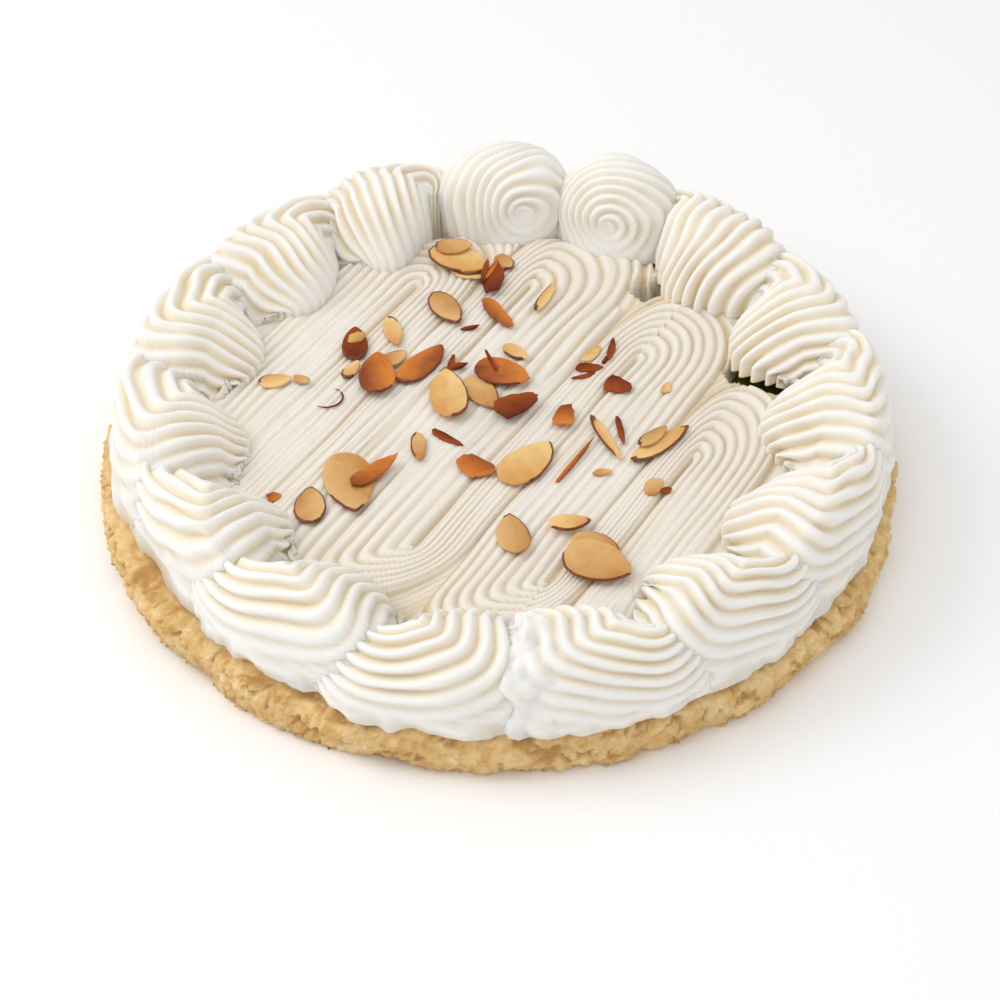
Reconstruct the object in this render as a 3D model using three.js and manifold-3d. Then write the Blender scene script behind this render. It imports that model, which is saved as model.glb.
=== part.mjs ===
// Banana cream pie: a shortcrust shell filled with custard, cream piped to and fro across the middle,
// a ring of large cream swirls on the rim and toasted almond slices scattered over the middle.
// Millimetres, +Z up, origin under the centre of the crust. The front of the pie faces -Y.
import * as THREE from 'three';
import { LoftGeometry } from 'three/addons/geometries/LoftGeometry.js';
import { mergeVertices } from 'three/addons/utils/BufferGeometryUtils.js';
import Module from 'manifold-3d';

// Driving dimensions
const GAP = 0.3; // clearance between neighbouring pieces
const CRUST_RADIUS = 116.5; // at the base
const CRUST_FLARE = 118.5; // widest point of the wall
const CRUST_HEIGHT = 15; // top of the rim
const CRUST_BASE = 6; // thickness of the bottom
const CRUST_BORE = 101; // inside of the wall at the rim
const CRUST_STEPS = 54;
const CRAG_DEPTH = 0.9; // how far the wall crumbles in and out

const PIPING_TOP = 27; // ridge crests of the cream in the middle
const PIPING_RADIUS = 90;
const PIPING_RIDGES = 6; // ridges across one leg
const RIDGE_DEPTH = 0.9; // groove depth in the middle
const CREVICE_DEPTH = 3.2; // between two legs
const LEG_ANGLE = 59; // degrees from +X
const BED_TOP = 24.5; // cream spread under the piping
const BEDS = [
  { x: -9, y: -9, radius: 82 },
  { x: -15, y: 15, radius: 72 },
  { x: 60, y: 40, radius: 17 },
];

const RING_RADIUS = 97; // where arc lengths along the ring of swirls are measured
const SWIRL_RIDGES = 7;
const EYE_RIDGES = 5;
const SWIRL_GROOVE = 1.4; // groove depth in the swirls
const SWIRL_SEAT = PIPING_TOP + 0.9; // underside of the swirls over the middle
const SWIRL_OVERLAP = PIPING_RADIUS + 2; // inside this the swirls lie on the middle
const SLICE = 1.2; // thickness of an almond slice

const degrees = (angle) => angle * Math.PI / 180;

const wasm = await Module();
wasm.setup();

// Solids and booleans

function toSolid(geometry) {
  const bare = new THREE.BufferGeometry();
  bare.setAttribute('position', geometry.attributes.position);
  bare.setIndex(geometry.index);
  const merged = mergeVertices(bare, 1e-4);
  const index = merged.index.array;
  const triangles = [];
  for (let i = 0; i < index.length; i += 3) {
    const [a, b, c] = [index[i], index[i + 1], index[i + 2]];
    if (a !== b && b !== c && c !== a) triangles.push(a, b, c);
  }
  return new wasm.Manifold(new wasm.Mesh({
    numProp: 3,
    vertProperties: new Float32Array(merged.attributes.position.array),
    triVerts: new Uint32Array(triangles),
  }));
}

function toGeometry(solid) {
  const mesh = solid.getMesh();
  const geometry = new THREE.BufferGeometry();
  geometry.setAttribute('position', new THREE.BufferAttribute(mesh.vertProperties, 3));
  geometry.setIndex(new THREE.BufferAttribute(mesh.triVerts, 1));
  geometry.computeVertexNormals();
  return geometry;
}

function largestPiece(solid) {
  const pieces = solid.decompose();
  return pieces.reduce((best, piece) => (piece.volume() > best.volume() ? piece : best));
}

function lathe(profile, steps) {
  const geometry = new THREE.LatheGeometry(profile.map(([r, z]) => new THREE.Vector2(r, z)), steps);
  return geometry.rotateX(Math.PI / 2);
}

// Materials
const finish = (color, roughness) => new THREE.MeshStandardMaterial({ color, roughness, metalness: 0 });
const materials = {
  crust: () => finish(0xd6ab6a, 0.85),
  filling: () => finish(0xc4a44a, 0.45),
  piping: () => finish(0xefe6d6, 0.5),
  swirl: () => finish(0xf7f2e8, 0.5),
  pale: () => finish(0xe3bd78, 0.55),
  tan: () => finish(0xd7a55c, 0.55),
  toasted: () => finish(0xc67a2c, 0.55),
  skin: () => finish(0x7d3518, 0.6),
};

const pie = new THREE.Group();

function add(name, geometry, material) {
  const mesh = new THREE.Mesh(geometry, materials[material]());
  mesh.name = name;
  pie.add(mesh);
}

// Crust: a shallow shell whose wall crumbles in and out
function crag(x, y, z) {
  const broad = Math.sin(0.19 * x + 0.4) * Math.sin(0.23 * y + 1.1);
  const fine = Math.sin(0.61 * x + 0.9 * z) * Math.sin(0.57 * y - 0.7 * z + 0.5);
  return CRAG_DEPTH * (0.5 * broad + 0.5 * fine);
}

function crustShell() {
  const geometry = lathe([
    [0, 0],
    [CRUST_RADIUS - 1, 0],
    [CRUST_RADIUS + 0.4, 1.4],
    [CRUST_RADIUS + 1, 4],
    [CRUST_FLARE, 7],
    [CRUST_FLARE, 10],
    [CRUST_FLARE - 1.8, 13],
    [CRUST_FLARE - 6, CRUST_HEIGHT],
    [CRUST_BORE + 1.5, CRUST_HEIGHT - 0.6],
    [CRUST_BORE, CRUST_HEIGHT - 2.6],
    [CRUST_BORE - 1.5, CRUST_BASE],
    [0, CRUST_BASE],
  ], CRUST_STEPS);
  const place = geometry.attributes.position;
  for (let i = 0; i < place.count; i += 1) {
    const [x, y, z] = [place.getX(i), place.getY(i), place.getZ(i)];
    const radius = Math.hypot(x, y);
    if (z > 0.5 && radius > CRUST_BORE + 1) {
      const out = 1 + crag(x, y, z) / radius;
      place.setXYZ(i, x * out, y * out, z + 0.4 * crag(y, x, z));
    }
  }
  return geometry;
}

function custard() {
  const top = CRUST_HEIGHT;
  return lathe([
    [0, CRUST_BASE + GAP],
    [CRUST_BORE - 2, CRUST_BASE + GAP],
    [CRUST_BORE - 0.6, top - 2.6],
    [CRUST_BORE - 1.6, top],
    [0, top],
  ], 30);
}

// Piping in the middle: ridged legs side by side, joined in pairs by turns at the back or the front.
// b runs across the legs and a along them. Each edge between two legs may hold a turn.
const LEG_EDGES = [
  { b: -80 },
  { b: -53.5, turn: 1, a: 38, reach: 32 },
  { b: -37 },
  { b: -23, turn: 1, a: 56, reach: 30 },
  { b: 9.3, turn: -1, a: -60, reach: 22 },
  { b: 23, turn: 1, a: 42, reach: 36 },
  { b: 48, turn: -1, a: -53, reach: 22 },
  { b: 58.5, turn: 1, a: 10, reach: 41 },
  { b: 80 },
];

function pipingPoint(b, a, z) {
  const along = degrees(LEG_ANGLE);
  return new THREE.Vector3(
    a * Math.cos(along) + b * Math.sin(along),
    a * Math.sin(along) - b * Math.cos(along),
    z,
  );
}

// Height across a leg, from its crevice at 0 to its crevice at 1, with a crest in each ridge
function legProfile() {
  const profile = [];
  for (let k = 0; k <= 2 * PIPING_RIDGES; k += 1) {
    const share = k / (2 * PIPING_RIDGES);
    const atCrevice = k === 0 || k === 2 * PIPING_RIDGES;
    const groove = k % 2 === 0 ? RIDGE_DEPTH : 0;
    profile.push([share, PIPING_TOP - (atCrevice ? CREVICE_DEPTH : groove)]);
  }
  return profile;
}

function pipingRings(sections) {
  const bottom = CRUST_HEIGHT + GAP;
  return sections.map((place) => {
    const tops = legProfile().map(([share, z]) => place(share, z));
    return [place(0, bottom), ...tops, place(1, bottom)];
  });
}

// A loft through rings that wind the right way when handed is 1, and the other way when it is -1
function loftSolid(rings, handed, capStart = true) {
  const wound = handed > 0 ? rings : rings.map((ring) => [...ring].reverse());
  return toSolid(new LoftGeometry(wound, { capStart, capEnd: true }));
}

function leg(left, right) {
  const far = PIPING_RADIUS + 2;
  const ends = [left, right].filter((edge) => edge.turn);
  const back = ends.find((edge) => edge.turn > 0)?.a ?? far;
  const front = ends.find((edge) => edge.turn < 0)?.a ?? -far;
  const endLap = 0.3;
  const sideLap = 0.1;
  const width = right.b - left.b + 2 * sideLap;
  const at = (a) => (share, z) => pipingPoint(left.b - sideLap + width * share, a, z);
  return loftSolid(pipingRings([at(front - endLap), at(back + endLap)]), 1);
}

function turn(left, edge, right) {
  const steps = 6;
  const squareness = 0.72; // below 1 for turns squarer than an ellipse
  const sections = [];
  for (let i = 0; i <= steps; i += 1) {
    const angle = Math.PI * i / steps;
    const side = Math.sign(Math.cos(angle)) * Math.abs(Math.cos(angle)) ** squareness;
    const forward = Math.abs(Math.sin(angle)) ** squareness;
    const width = side < 0 ? edge.b - left.b : right.b - edge.b;
    sections.push((share, z) => {
      const q = Math.max(share, 0.004); // keeps the inner edge of the turn open
      const atRim = share === 1 && z > CRUST_HEIGHT + GAP;
      const sag = atRim ? CREVICE_DEPTH * forward : 0;
      return pipingPoint(edge.b + side * width * q, edge.a + edge.turn * forward * edge.reach * q, z - sag);
    });
  }
  return loftSolid(pipingRings(sections), edge.turn);
}

function bed({ x, y, radius }) {
  const bottom = CRUST_HEIGHT + GAP;
  const layer = lathe([[0, bottom], [radius, bottom], [radius, BED_TOP], [0, BED_TOP]], 18);
  return toSolid(layer.translate(x, y, 0));
}

function piping() {
  let solid = bed(BEDS[0]);
  const join = (piece) => {
    solid = solid.add(piece);
  };
  BEDS.slice(1).forEach((patch) => join(bed(patch)));
  for (let i = 1; i < LEG_EDGES.length; i += 1) {
    join(leg(LEG_EDGES[i - 1], LEG_EDGES[i]));
  }
  for (let i = 1; i < LEG_EDGES.length - 1; i += 1) {
    if (LEG_EDGES[i].turn) join(turn(LEG_EDGES[i - 1], LEG_EDGES[i], LEG_EDGES[i + 1]));
  }
  const disc = lathe([
    [0, CRUST_HEIGHT],
    [PIPING_RADIUS - 2, CRUST_HEIGHT],
    [PIPING_RADIUS, CRUST_HEIGHT + 4],
    [PIPING_RADIUS - 1, PIPING_TOP - 2],
    [PIPING_RADIUS - 4, PIPING_TOP + 1],
    [0, PIPING_TOP + 1],
  ], 36);
  return solid.intersect(toSolid(disc));
}

// Swirls: two runs start at the back and meet at the front. Each is a puffed hump. Its ridges bend round a
// focus beside the swirl before it, bulge out over the rim and then run inwards. The first two turn all
// round an eye.
// angle and radius place the focus, outer is the radius of the lower edge, inner that of the inner ends, top
// the height of the crest, back how far the hump reaches behind the focus and curl how far the ridges bend
// back at their inner ends, where they have any.
const LEFT_RUN = [
  { name: 'swirl_02', angle: 64.5, radius: 91, outer: 115.5, inner: 85, top: 53, back: 16.5, eye: true },
  { name: 'swirl_01', angle: 85.5, radius: 87, outer: 115.5, inner: 83, top: 52, back: 15, eye: true },
  { name: 'swirl_15', angle: 103.5, radius: 98, outer: 115, inner: 74.5, top: 47, back: 8, curl: 5 },
  { name: 'swirl_14', angle: 124.5, radius: 92, outer: 115, inner: 73.5, top: 45, back: 8, curl: 5 },
  { name: 'swirl_13', angle: 151, radius: 87, outer: 115, inner: 74.5, top: 44, back: 8, curl: 2 },
  { name: 'swirl_12', angle: 179, radius: 83, outer: 115, inner: 74.5, top: 44, back: 8, curl: 0 },
  { name: 'swirl_11', angle: 206, radius: 87, outer: 112.5, inner: 76.5, top: 45, back: 8, curl: 2 },
  { name: 'swirl_10', angle: 230, radius: 93, outer: 115, inner: 81.5, top: 44, back: 8, curl: 2 },
  { name: 'swirl_09', angle: 254, radius: 96, outer: 118.5, inner: 88, top: 41, back: 10, curl: -6 },
];
const RIGHT_RUN = [
  { name: 'swirl_03', angle: 58.5, radius: 101, outer: 116, inner: 74.5, top: 47, back: 8, curl: 0 },
  { name: 'swirl_04', angle: 31, radius: 92, outer: 116.5, inner: 74.5, top: 44, back: 8, curl: 2 },
  { name: 'swirl_05', angle: 7.5, radius: 94, outer: 116.5, inner: 76.5, top: 45, back: 8, curl: 2 },
  { name: 'swirl_06', angle: -19.5, radius: 97, outer: 116, inner: 78.5, top: 45, back: 8, curl: 2 },
  { name: 'swirl_07', angle: -46, radius: 99, outer: 116.5, inner: 81.5, top: 44, back: 8, curl: 2 },
  { name: 'swirl_08', angle: -68, radius: 99, outer: 119, inner: 88, top: 41, back: 8, curl: -5 },
];
const LEFT_END = 276; // the two runs lap where they meet at the front
const RIGHT_END = -92;
const EYE_LEAD = 9; // degrees by which a swirl round an eye begins before the eye
const SWIRL_START = 15; // degrees of turn hidden under the swirl before
const SPAN_OVER = 1.05; // a swirl laps this much over the next
const CREST_RADIUS = 99; // ring of the highest points
const CROWN_SHARE = 0.45; // place of the highest point along the span
const HUMP_POWER = 2.5; // above 2 for a hump squarer than an ellipse
const SKIRT_POWER = 2; // how much squarer it is at the rim
const INNER_POWER = 1.6; // of the slope down to the inner ends
const FLANK = 15; // how much further back a hump reaches at the rim
const SWIRL_PIT = 5; // hollow at the focus
const EYE_PIT = 1.5;
const PIT_RADIUS = 6;
const SWIRL_FLOOR = 8; // before the seat trims the underside
const RIM_EDGE = 14; // lower edge of a swirl that ends on the rim
const HANGING_EDGE = 12.5; // lower edge of a swirl that hangs over the rim
const HANGING_RADIUS = 116.2; // a swirl that reaches further out than this hangs over
const SIDE_EDGE = 23; // height of the edge that laps over the next swirl
const LIP = 29.3; // height of the inner ends
const EYE_LIP = 25;
const DOME = 0.5; // roundness of the hump, 0.5 like a ball and 1 like a cone
const INNER_SLOPE = 0.3; // how much more like a cone the inner side is
const EYE_SLOPE = 0.6;
const OUTLINE_DROP = 0.99; // below 1 keeps the slope at the outline finite
const FIRST_REACH = 0.3; // share of the inward run beside the focus
const FULL_REACH = 0.6; // share of the span where the run has its full length
const LATE_REACH = 0.75; // share of the span where it starts to shorten again
const REACH_LOSS = 0.2;
const SHORTEST_RUN = 1.5;
const FOCUS_SHARE = 0.06; // keeps the sections open at the focus
const FURTHEST = 60; // beyond every outline
const HALVINGS = 24;
const FAN_STEPS = 6;
const EYE_STEPS = 12;
const RUN_SHARES = [0.4, 0.75, 1];
const NUDGE = 0.01; // step for slopes

const limit = THREE.MathUtils.clamp;

// How far the ridges run inwards: little beside the focus, most past the middle
function swirlReach(swirl, share) {
  const inward = swirl.radius - swirl.inner;
  if (swirl.eye) return inward;
  const growth = Math.sin(0.5 * Math.PI * Math.min(share / FULL_REACH, 1));
  const loss = REACH_LOSS * THREE.MathUtils.smoothstep(share, LATE_REACH, 1);
  return inward * (FIRST_REACH + (1 - FIRST_REACH) * growth - loss);
}

// How far a place lies from the crest along the ring, as a share of the way to the outline
function sideShare(swirl, span, u, w) {
  const crown = swirl.eye ? 0 : CROWN_SHARE * span;
  const back = swirl.back + FLANK * limit(w / (swirl.outer - swirl.radius), 0, 1);
  const share = u > crown ? (u - crown) / (SPAN_OVER * span - crown) : (crown - u) / (crown + back);
  const skirt = limit((swirl.radius + w - CREST_RADIUS) / (swirl.outer - CREST_RADIUS), 0, 1);
  return Math.min(share, 1) ** (HUMP_POWER + SKIRT_POWER * skirt);
}

// How near a place is to the outline of the hump, 1 on it, and the height of the outline beside that place
function hump(swirl, span, u, w, reach) {
  const centre = CREST_RADIUS - swirl.radius;
  const side = sideShare(swirl, span, u, w);
  const outside = w > centre;
  const across = outside
    ? ((w - centre) / (swirl.outer - CREST_RADIUS)) ** HUMP_POWER
    : ((centre - w) / (centre + reach)) ** INNER_POWER;
  const rim = swirl.outer > HANGING_RADIUS ? HANGING_EDGE : RIM_EDGE;
  const lip = swirl.eye ? EYE_LIP : LIP;
  const near = side + across;
  const edge = (side * SIDE_EDGE + across * (outside ? rim : lip)) / Math.max(near, 1e-9);
  return { near, edge };
}

function swirlHeight(swirl, span, u, w, reach) {
  const { near, edge } = hump(swirl, span, u, w, reach);
  const centre = CREST_RADIUS - swirl.radius;
  const pit = (swirl.eye ? EYE_PIT : SWIRL_PIT) * Math.exp(-(u ** 2 + w ** 2) / PIT_RADIUS ** 2);
  const slope = (swirl.eye ? EYE_SLOPE : INNER_SLOPE) * limit((centre - w) / (centre + reach), 0, 1);
  return edge + (swirl.top - edge) * (1 - OUTLINE_DROP * Math.min(near, 1)) ** (DOME + slope) - pit;
}

// Distance from the focus to the outline in the direction beta, by halving. The inner side of a swirl without
// an eye is open, because its ridges run on there.
function outlineDistance(swirl, span, beta) {
  const reach = swirl.eye ? swirlReach(swirl, 1) : Infinity;
  let [low, high] = [1, FURTHEST];
  for (let i = 0; i < HALVINGS; i += 1) {
    const middle = 0.5 * (low + high);
    const { near } = hump(swirl, span, -middle * Math.cos(beta), middle * Math.sin(beta), reach);
    if (near < 1) low = middle;
    else high = middle;
  }
  return low;
}

// Where a ridge that lies this far along the ring ends, measured outwards from the focus
function innerEnd(swirl, span, u, reach) {
  const centre = CREST_RADIUS - swirl.radius;
  const room = Math.max(1 - sideShare(swirl, span, u, 0), 0);
  return Math.min(centre - (centre + reach) * room ** (1 / INNER_POWER), -SHORTEST_RUN);
}

// A point of the smooth hump: turn in degrees round the focus up to 180, and past that the run inwards
function swirlPoint(swirl, direction, span, turn, share) {
  const beta = degrees(Math.min(turn, 180));
  const run = Math.max(turn - 180, 0);
  const reach = swirlReach(swirl, share);
  const far = outlineDistance(swirl, span, beta) * share;
  const curl = swirl.curl * share;
  const u = -far * Math.cos(beta) - curl * run ** 2;
  const w = far * Math.sin(beta) + (run > 0 ? run * innerEnd(swirl, span, far - curl, reach) : 0);
  const angle = degrees(swirl.angle) + direction * u / RING_RADIUS;
  const radius = swirl.radius + w;
  const z = swirlHeight(swirl, span, u, w, reach);
  return new THREE.Vector3(radius * Math.cos(angle), radius * Math.sin(angle), z);
}

// The same point moved out along the normal
function pressedPoint(swirl, direction, span, turn, share, press) {
  const at = (t, s) => swirlPoint(swirl, direction, span, t, s);
  const point = at(turn, share);
  const along = point.clone().sub(at(turn - NUDGE, share));
  const across = point.clone().sub(at(turn, share - NUDGE));
  const normal = across.cross(along).multiplyScalar(direction).normalize();
  return point.addScaledVector(normal, press);
}

// The whole swirl, or with a lift a copy that is larger by it all round
function swirlSolid({ outer, inner, top, back, ...rest }, direction, length, lift) {
  const grown = { outer: outer + lift, inner: inner - lift, top: top + lift, back: back + lift };
  const swirl = { curl: 0, ...rest, ...grown };
  const span = length + lift;
  const floor = SWIRL_FLOOR - lift;
  const count = 2 * (swirl.eye ? EYE_RIDGES : SWIRL_RIDGES);
  const first = FOCUS_SHARE * (1 - lift);
  const shareAt = (k) => first + (1 - first) * k / count;
  const press = (turn, k) => {
    const grooved = k % 2 === 0 && k > 0 && k < count && turn >= 0;
    return grooved ? lift - SWIRL_GROOVE : lift;
  };
  const point = (turn, k) => pressedPoint(swirl, direction, span, turn, shareAt(k), press(turn, k));
  const down = (place) => new THREE.Vector3(place.x, place.y, floor);
  const columns = [...Array(count + 1).keys()];
  if (swirl.eye) {
    const turns = [...Array(EYE_STEPS).keys()].map((i) => -180 + 360 * i / EYE_STEPS);
    const eye = swirlPoint(swirl, direction, span, 0, 0);
    const loops = columns.map((k) => turns.map((turn) => point(turn, k)));
    return loftSolid([turns.map(() => eye), ...loops, loops.at(-1).map(down)], -direction, false);
  }
  const fan = [...Array(FAN_STEPS + 1).keys()].map((i) => SWIRL_START + (180 - SWIRL_START) * i / FAN_STEPS);
  const earlier = lift > 0 ? [SWIRL_START * (1 - lift)] : [];
  const rings = [...earlier, ...fan, ...RUN_SHARES.map((share) => 180 + share)].map((turn) => {
    const tops = columns.map((k) => point(turn, k));
    return [down(tops[0]), ...tops, down(tops.at(-1))];
  });
  return loftSolid(rings, direction);
}

// What lies under the swirls: the middle, the custard and the crust rim
function seat() {
  return toSolid(lathe([
    [0, -1],
    [CRUST_FLARE + 1.4, -1],
    [CRUST_FLARE + 1.4, 10.4],
    [CRUST_FLARE - 0.8, 14],
    [CRUST_FLARE - 5, CRUST_HEIGHT + 1],
    [CRUST_BORE - 1, CRUST_HEIGHT + 1],
    [CRUST_BORE - 3, CRUST_HEIGHT + GAP],
    [SWIRL_OVERLAP, CRUST_HEIGHT + GAP],
    [SWIRL_OVERLAP, SWIRL_SEAT],
    [0, SWIRL_SEAT],
  ], 54));
}

function runSolids(run, direction, end) {
  const below = seat();
  return run.map((swirl, i) => {
    const next = run[i + 1];
    const until = next ? next.angle - (next.eye ? EYE_LEAD : 0) : end;
    const span = RING_RADIUS * degrees(Math.abs(until - swirl.angle));
    const whole = swirlSolid(swirl, direction, span, 0);
    const grown = swirlSolid(swirl, direction, span, GAP).add(whole);
    return { name: swirl.name, body: whole.subtract(below), grown };
  });
}

function swirls() {
  const left = runSolids(LEFT_RUN, 1, LEFT_END);
  const right = runSolids(RIGHT_RUN, -1, RIGHT_END);
  for (const run of [left, right]) {
    for (let i = 1; i < run.length; i += 1) run[i].body = run[i].body.subtract(run[i - 1].grown);
  }
  left[0].body = left[0].body.subtract(right[0].grown);
  left.at(-1).body = left.at(-1).body.subtract(right.at(-1).grown);
  for (const { name, body } of [...left, ...right]) add(name, toGeometry(largestPiece(body)), 'swirl');
}

// Almond slices: centre x and y, length, width, angle of the long axis in degrees, finish, and how many
// pieces it lies on. The outline is an egg, pointed at the far end by taper.
const ALMONDS = [
  { x: -9, y: 68.5, length: 13, width: 10, angle: -10, finish: 'tan', level: 0 },
  { x: -12.8, y: 70.9, length: 21, width: 13, angle: -32, finish: 'tan', level: 1 },
  { x: -14.5, y: 75.8, length: 12, width: 8, angle: 8, finish: 'tan', level: 2 },
  { x: 1.8, y: 70, length: 8.5, width: 6, angle: -60, finish: 'tan', level: 0 },
  { x: -2, y: 60.5, length: 17, width: 7, angle: 78, finish: 'skin', level: 1 },
  { x: 0, y: 43.5, length: 17, width: 5.5, angle: -58, finish: 'toasted', level: 0 },
  { x: -16.5, y: 46.5, length: 17.5, width: 9, angle: -62, finish: 'pale', level: 0 },
  { x: 14.5, y: 52.5, length: 16, width: 3.6, angle: 66, finish: 'pale', level: 0 },
  { x: -44, y: 29, length: 16, width: 8, angle: 92, finish: 'skin', level: 0 },
  { x: -32.5, y: 35, length: 14, width: 5.5, angle: -78, finish: 'pale', level: 0 },
  { x: -32, y: 22, length: 10, width: 6, angle: 35, finish: 'tan', level: 0 },
  { x: -44.5, y: 16.5, length: 9, width: 4.5, angle: 65, finish: 'pale', level: 0 },
  { x: -36.5, y: 13.5, length: 19, width: 11, angle: 91, finish: 'toasted', level: 1 },
  { x: -23.5, y: 19, length: 21.5, width: 9.5, angle: 54, finish: 'toasted', level: 0 },
  { x: -5, y: 6, length: 16, width: 9, angle: -58, finish: 'tan', level: 0 },
  { x: -15, y: 4.5, length: 22.5, width: 11.5, angle: 97, finish: 'pale', level: 1 },
  { x: 1, y: 14, length: 17.5, width: 12, angle: -25, finish: 'toasted', level: 1 },
  { x: 4.5, y: -1, length: 17, width: 9, angle: 28, finish: 'skin', level: 1 },
  { x: 5, y: 25, length: 9.5, width: 5.5, angle: -45, finish: 'pale', level: 0 },
  { x: -42.5, y: -33.5, length: 25, width: 14.5, angle: -78, finish: 'tan', level: 0 },
  { x: -36, y: -30, length: 18, width: 6.5, angle: 45, finish: 'toasted', level: 1 },
  { x: -53, y: -43, length: 15, width: 9, angle: 92, finish: 'tan', level: 0 },
  { x: -67, y: 11.5, length: 10, width: 6, angle: 12, finish: 'pale', level: 0 },
  { x: -59, y: 12, length: 5.6, width: 3.4, angle: -25, finish: 'tan', level: 0 },
  { x: -6.6, y: -27, length: 12.4, width: 9, angle: -25, finish: 'toasted', level: 0 },
  { x: 8, y: -25, length: 22, width: 12.5, angle: 50, finish: 'pale', level: 0 },
  { x: 3.8, y: -54.5, length: 15.5, width: 9.5, angle: 100, finish: 'tan', level: 0 },
  { x: 19.5, y: -51, length: 12, width: 6.2, angle: 5, finish: 'pale', level: 1 },
  { x: 26.5, y: -59, length: 14, width: 10, angle: -20, finish: 'tan', level: 0 },
  { x: 26.8, y: -66.5, length: 20, width: 15, angle: -28, finish: 'tan', level: 1 },
  { x: 46.5, y: -17, length: 23, width: 6.5, angle: 41, finish: 'pale', level: 0 },
  { x: 44.5, y: -15, length: 12, width: 4.6, angle: 45, finish: 'tan', level: 1 },
  { x: 19, y: -4.5, length: 11, width: 6.5, angle: 78, finish: 'toasted', level: 0 },
  { x: 35.3, y: 9.5, length: 10, width: 7.5, angle: -30, finish: 'skin', level: 0 },
  { x: 31, y: -14.5, length: 21, width: 3.4, angle: -67, finish: 'pale', level: 0 },
  { x: -23.3, y: -18.5, length: 12, width: 4.6, angle: -86, finish: 'tan', level: 0 },
];

// Small flakes and slivers, part of the cream that they lie in
const FLAKES = [
  { x: -14.3, y: 21, length: 8, width: 2.2, angle: 80 },
  { x: -9, y: 37.5, length: 6, width: 1.8, angle: 20 },
  { x: -63.5, y: -39, length: 4.5, width: 4, angle: 30 },
  { x: -15.5, y: -13.5, length: 12.5, width: 2.8, angle: -38 },
  { x: 28, y: 24.7, length: 9, width: 4.2, angle: 50 },
  { x: 34.2, y: 27, length: 11, width: 2.4, angle: 82 },
  { x: 27, y: 18.3, length: 9, width: 4.2, angle: -3 },
  { x: 25.5, y: 14.3, length: 8, width: 1.5, angle: 20 },
  { x: 50, y: 9, length: 5, width: 3, angle: 75 },
  { x: 21.8, y: -23.6, length: 23, width: 1.7, angle: 60 },
  { x: 35.4, y: -10.3, length: 12.5, width: 2.2, angle: -84 },
  { x: 29.5, y: -28.5, length: 5.5, width: 2.8, angle: 8 },
  { x: 44, y: -34.5, length: 8, width: 6, angle: 60 },
];

function eggShape(length, width, sides) {
  const taper = 0.16;
  const points = [];
  for (let i = 0; i < sides; i += 1) {
    const angle = 2 * Math.PI * i / sides;
    const half = (width / 2) * (1 - taper * Math.cos(angle));
    points.push(new THREE.Vector2((length / 2) * Math.cos(angle), half * Math.sin(angle)));
  }
  return new THREE.Shape(points);
}

function slice({ x, y, length, width, angle }, sides, bottom, depth) {
  const geometry = new THREE.ExtrudeGeometry(eggShape(length, width, sides), { depth, bevelEnabled: false });
  return geometry.rotateZ(degrees(angle)).translate(x, y, bottom);
}

function almonds() {
  ALMONDS.forEach((almond, i) => {
    const bottom = PIPING_TOP + GAP + almond.level * (SLICE + GAP);
    const name = `almond_${String(i + 1).padStart(2, '0')}`;
    add(name, slice(almond, 10, bottom, SLICE), almond.finish);
  });
}

function pipingWithFlakes() {
  const sunk = CREVICE_DEPTH + 0.5; // no hollow is left where a flake crosses a crevice
  return FLAKES.reduce(
    (solid, flake) => solid.add(toSolid(slice(flake, 6, PIPING_TOP - sunk, sunk + 0.9))),
    piping(),
  );
}

add('crust', crustShell(), 'crust');
add('filling', custard(), 'filling');
add('cream_piping', toGeometry(largestPiece(pipingWithFlakes())), 'piping');
swirls();
almonds();

export default pie;
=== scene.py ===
"""Banana cream pie: ridged cream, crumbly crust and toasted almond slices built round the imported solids.

Shapes are worked out in millimetres, in the same frame as the solids, and turned into metres when a mesh
is made.
"""
import math
from collections import namedtuple

import bpy
import numpy as np
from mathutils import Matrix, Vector


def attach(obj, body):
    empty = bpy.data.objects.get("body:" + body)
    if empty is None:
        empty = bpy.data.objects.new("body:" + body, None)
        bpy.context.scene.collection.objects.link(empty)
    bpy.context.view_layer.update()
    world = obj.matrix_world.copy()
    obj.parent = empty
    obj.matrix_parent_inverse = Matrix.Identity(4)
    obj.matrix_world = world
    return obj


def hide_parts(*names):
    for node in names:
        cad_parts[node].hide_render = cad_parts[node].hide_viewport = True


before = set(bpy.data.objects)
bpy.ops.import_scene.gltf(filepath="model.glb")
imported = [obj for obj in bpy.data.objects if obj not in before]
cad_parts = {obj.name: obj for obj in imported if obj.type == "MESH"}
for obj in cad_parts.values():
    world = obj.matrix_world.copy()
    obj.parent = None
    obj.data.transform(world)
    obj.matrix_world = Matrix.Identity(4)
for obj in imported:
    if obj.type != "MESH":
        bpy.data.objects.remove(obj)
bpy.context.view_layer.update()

# Driving dimensions, in millimetres and degrees
MM = 0.001
GAP = 0.3
CRUST_RADIUS = 116.5
CRUST_FLARE = 118.5
CRUST_HEIGHT = 15.0
CRUST_BASE = 6.0
CRUST_BORE = 101.0
PIPING_TOP = 27.0
PIPING_RADIUS = 92.0
PIPING_FOOT = CRUST_HEIGHT + GAP
LEG_ANGLE = 59.0
LEG_RIDGES = 8
RING_RADIUS = 97.0
SWIRL_RIDGES = 12
SLICE_THICK = 0.9

# Round beds of plain cream that fill the middle under and between the legs: centre x and y, radius
BED_TOP = 24.5
BEDS = [
    (-9, -9, 82),
    (-15, 15, 72),
    (60, 40, 17),
    (50, 76, 9),
    (74, -33, 14),
    (56, -62, 15),
    (10, -78, 18),
]

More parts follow.
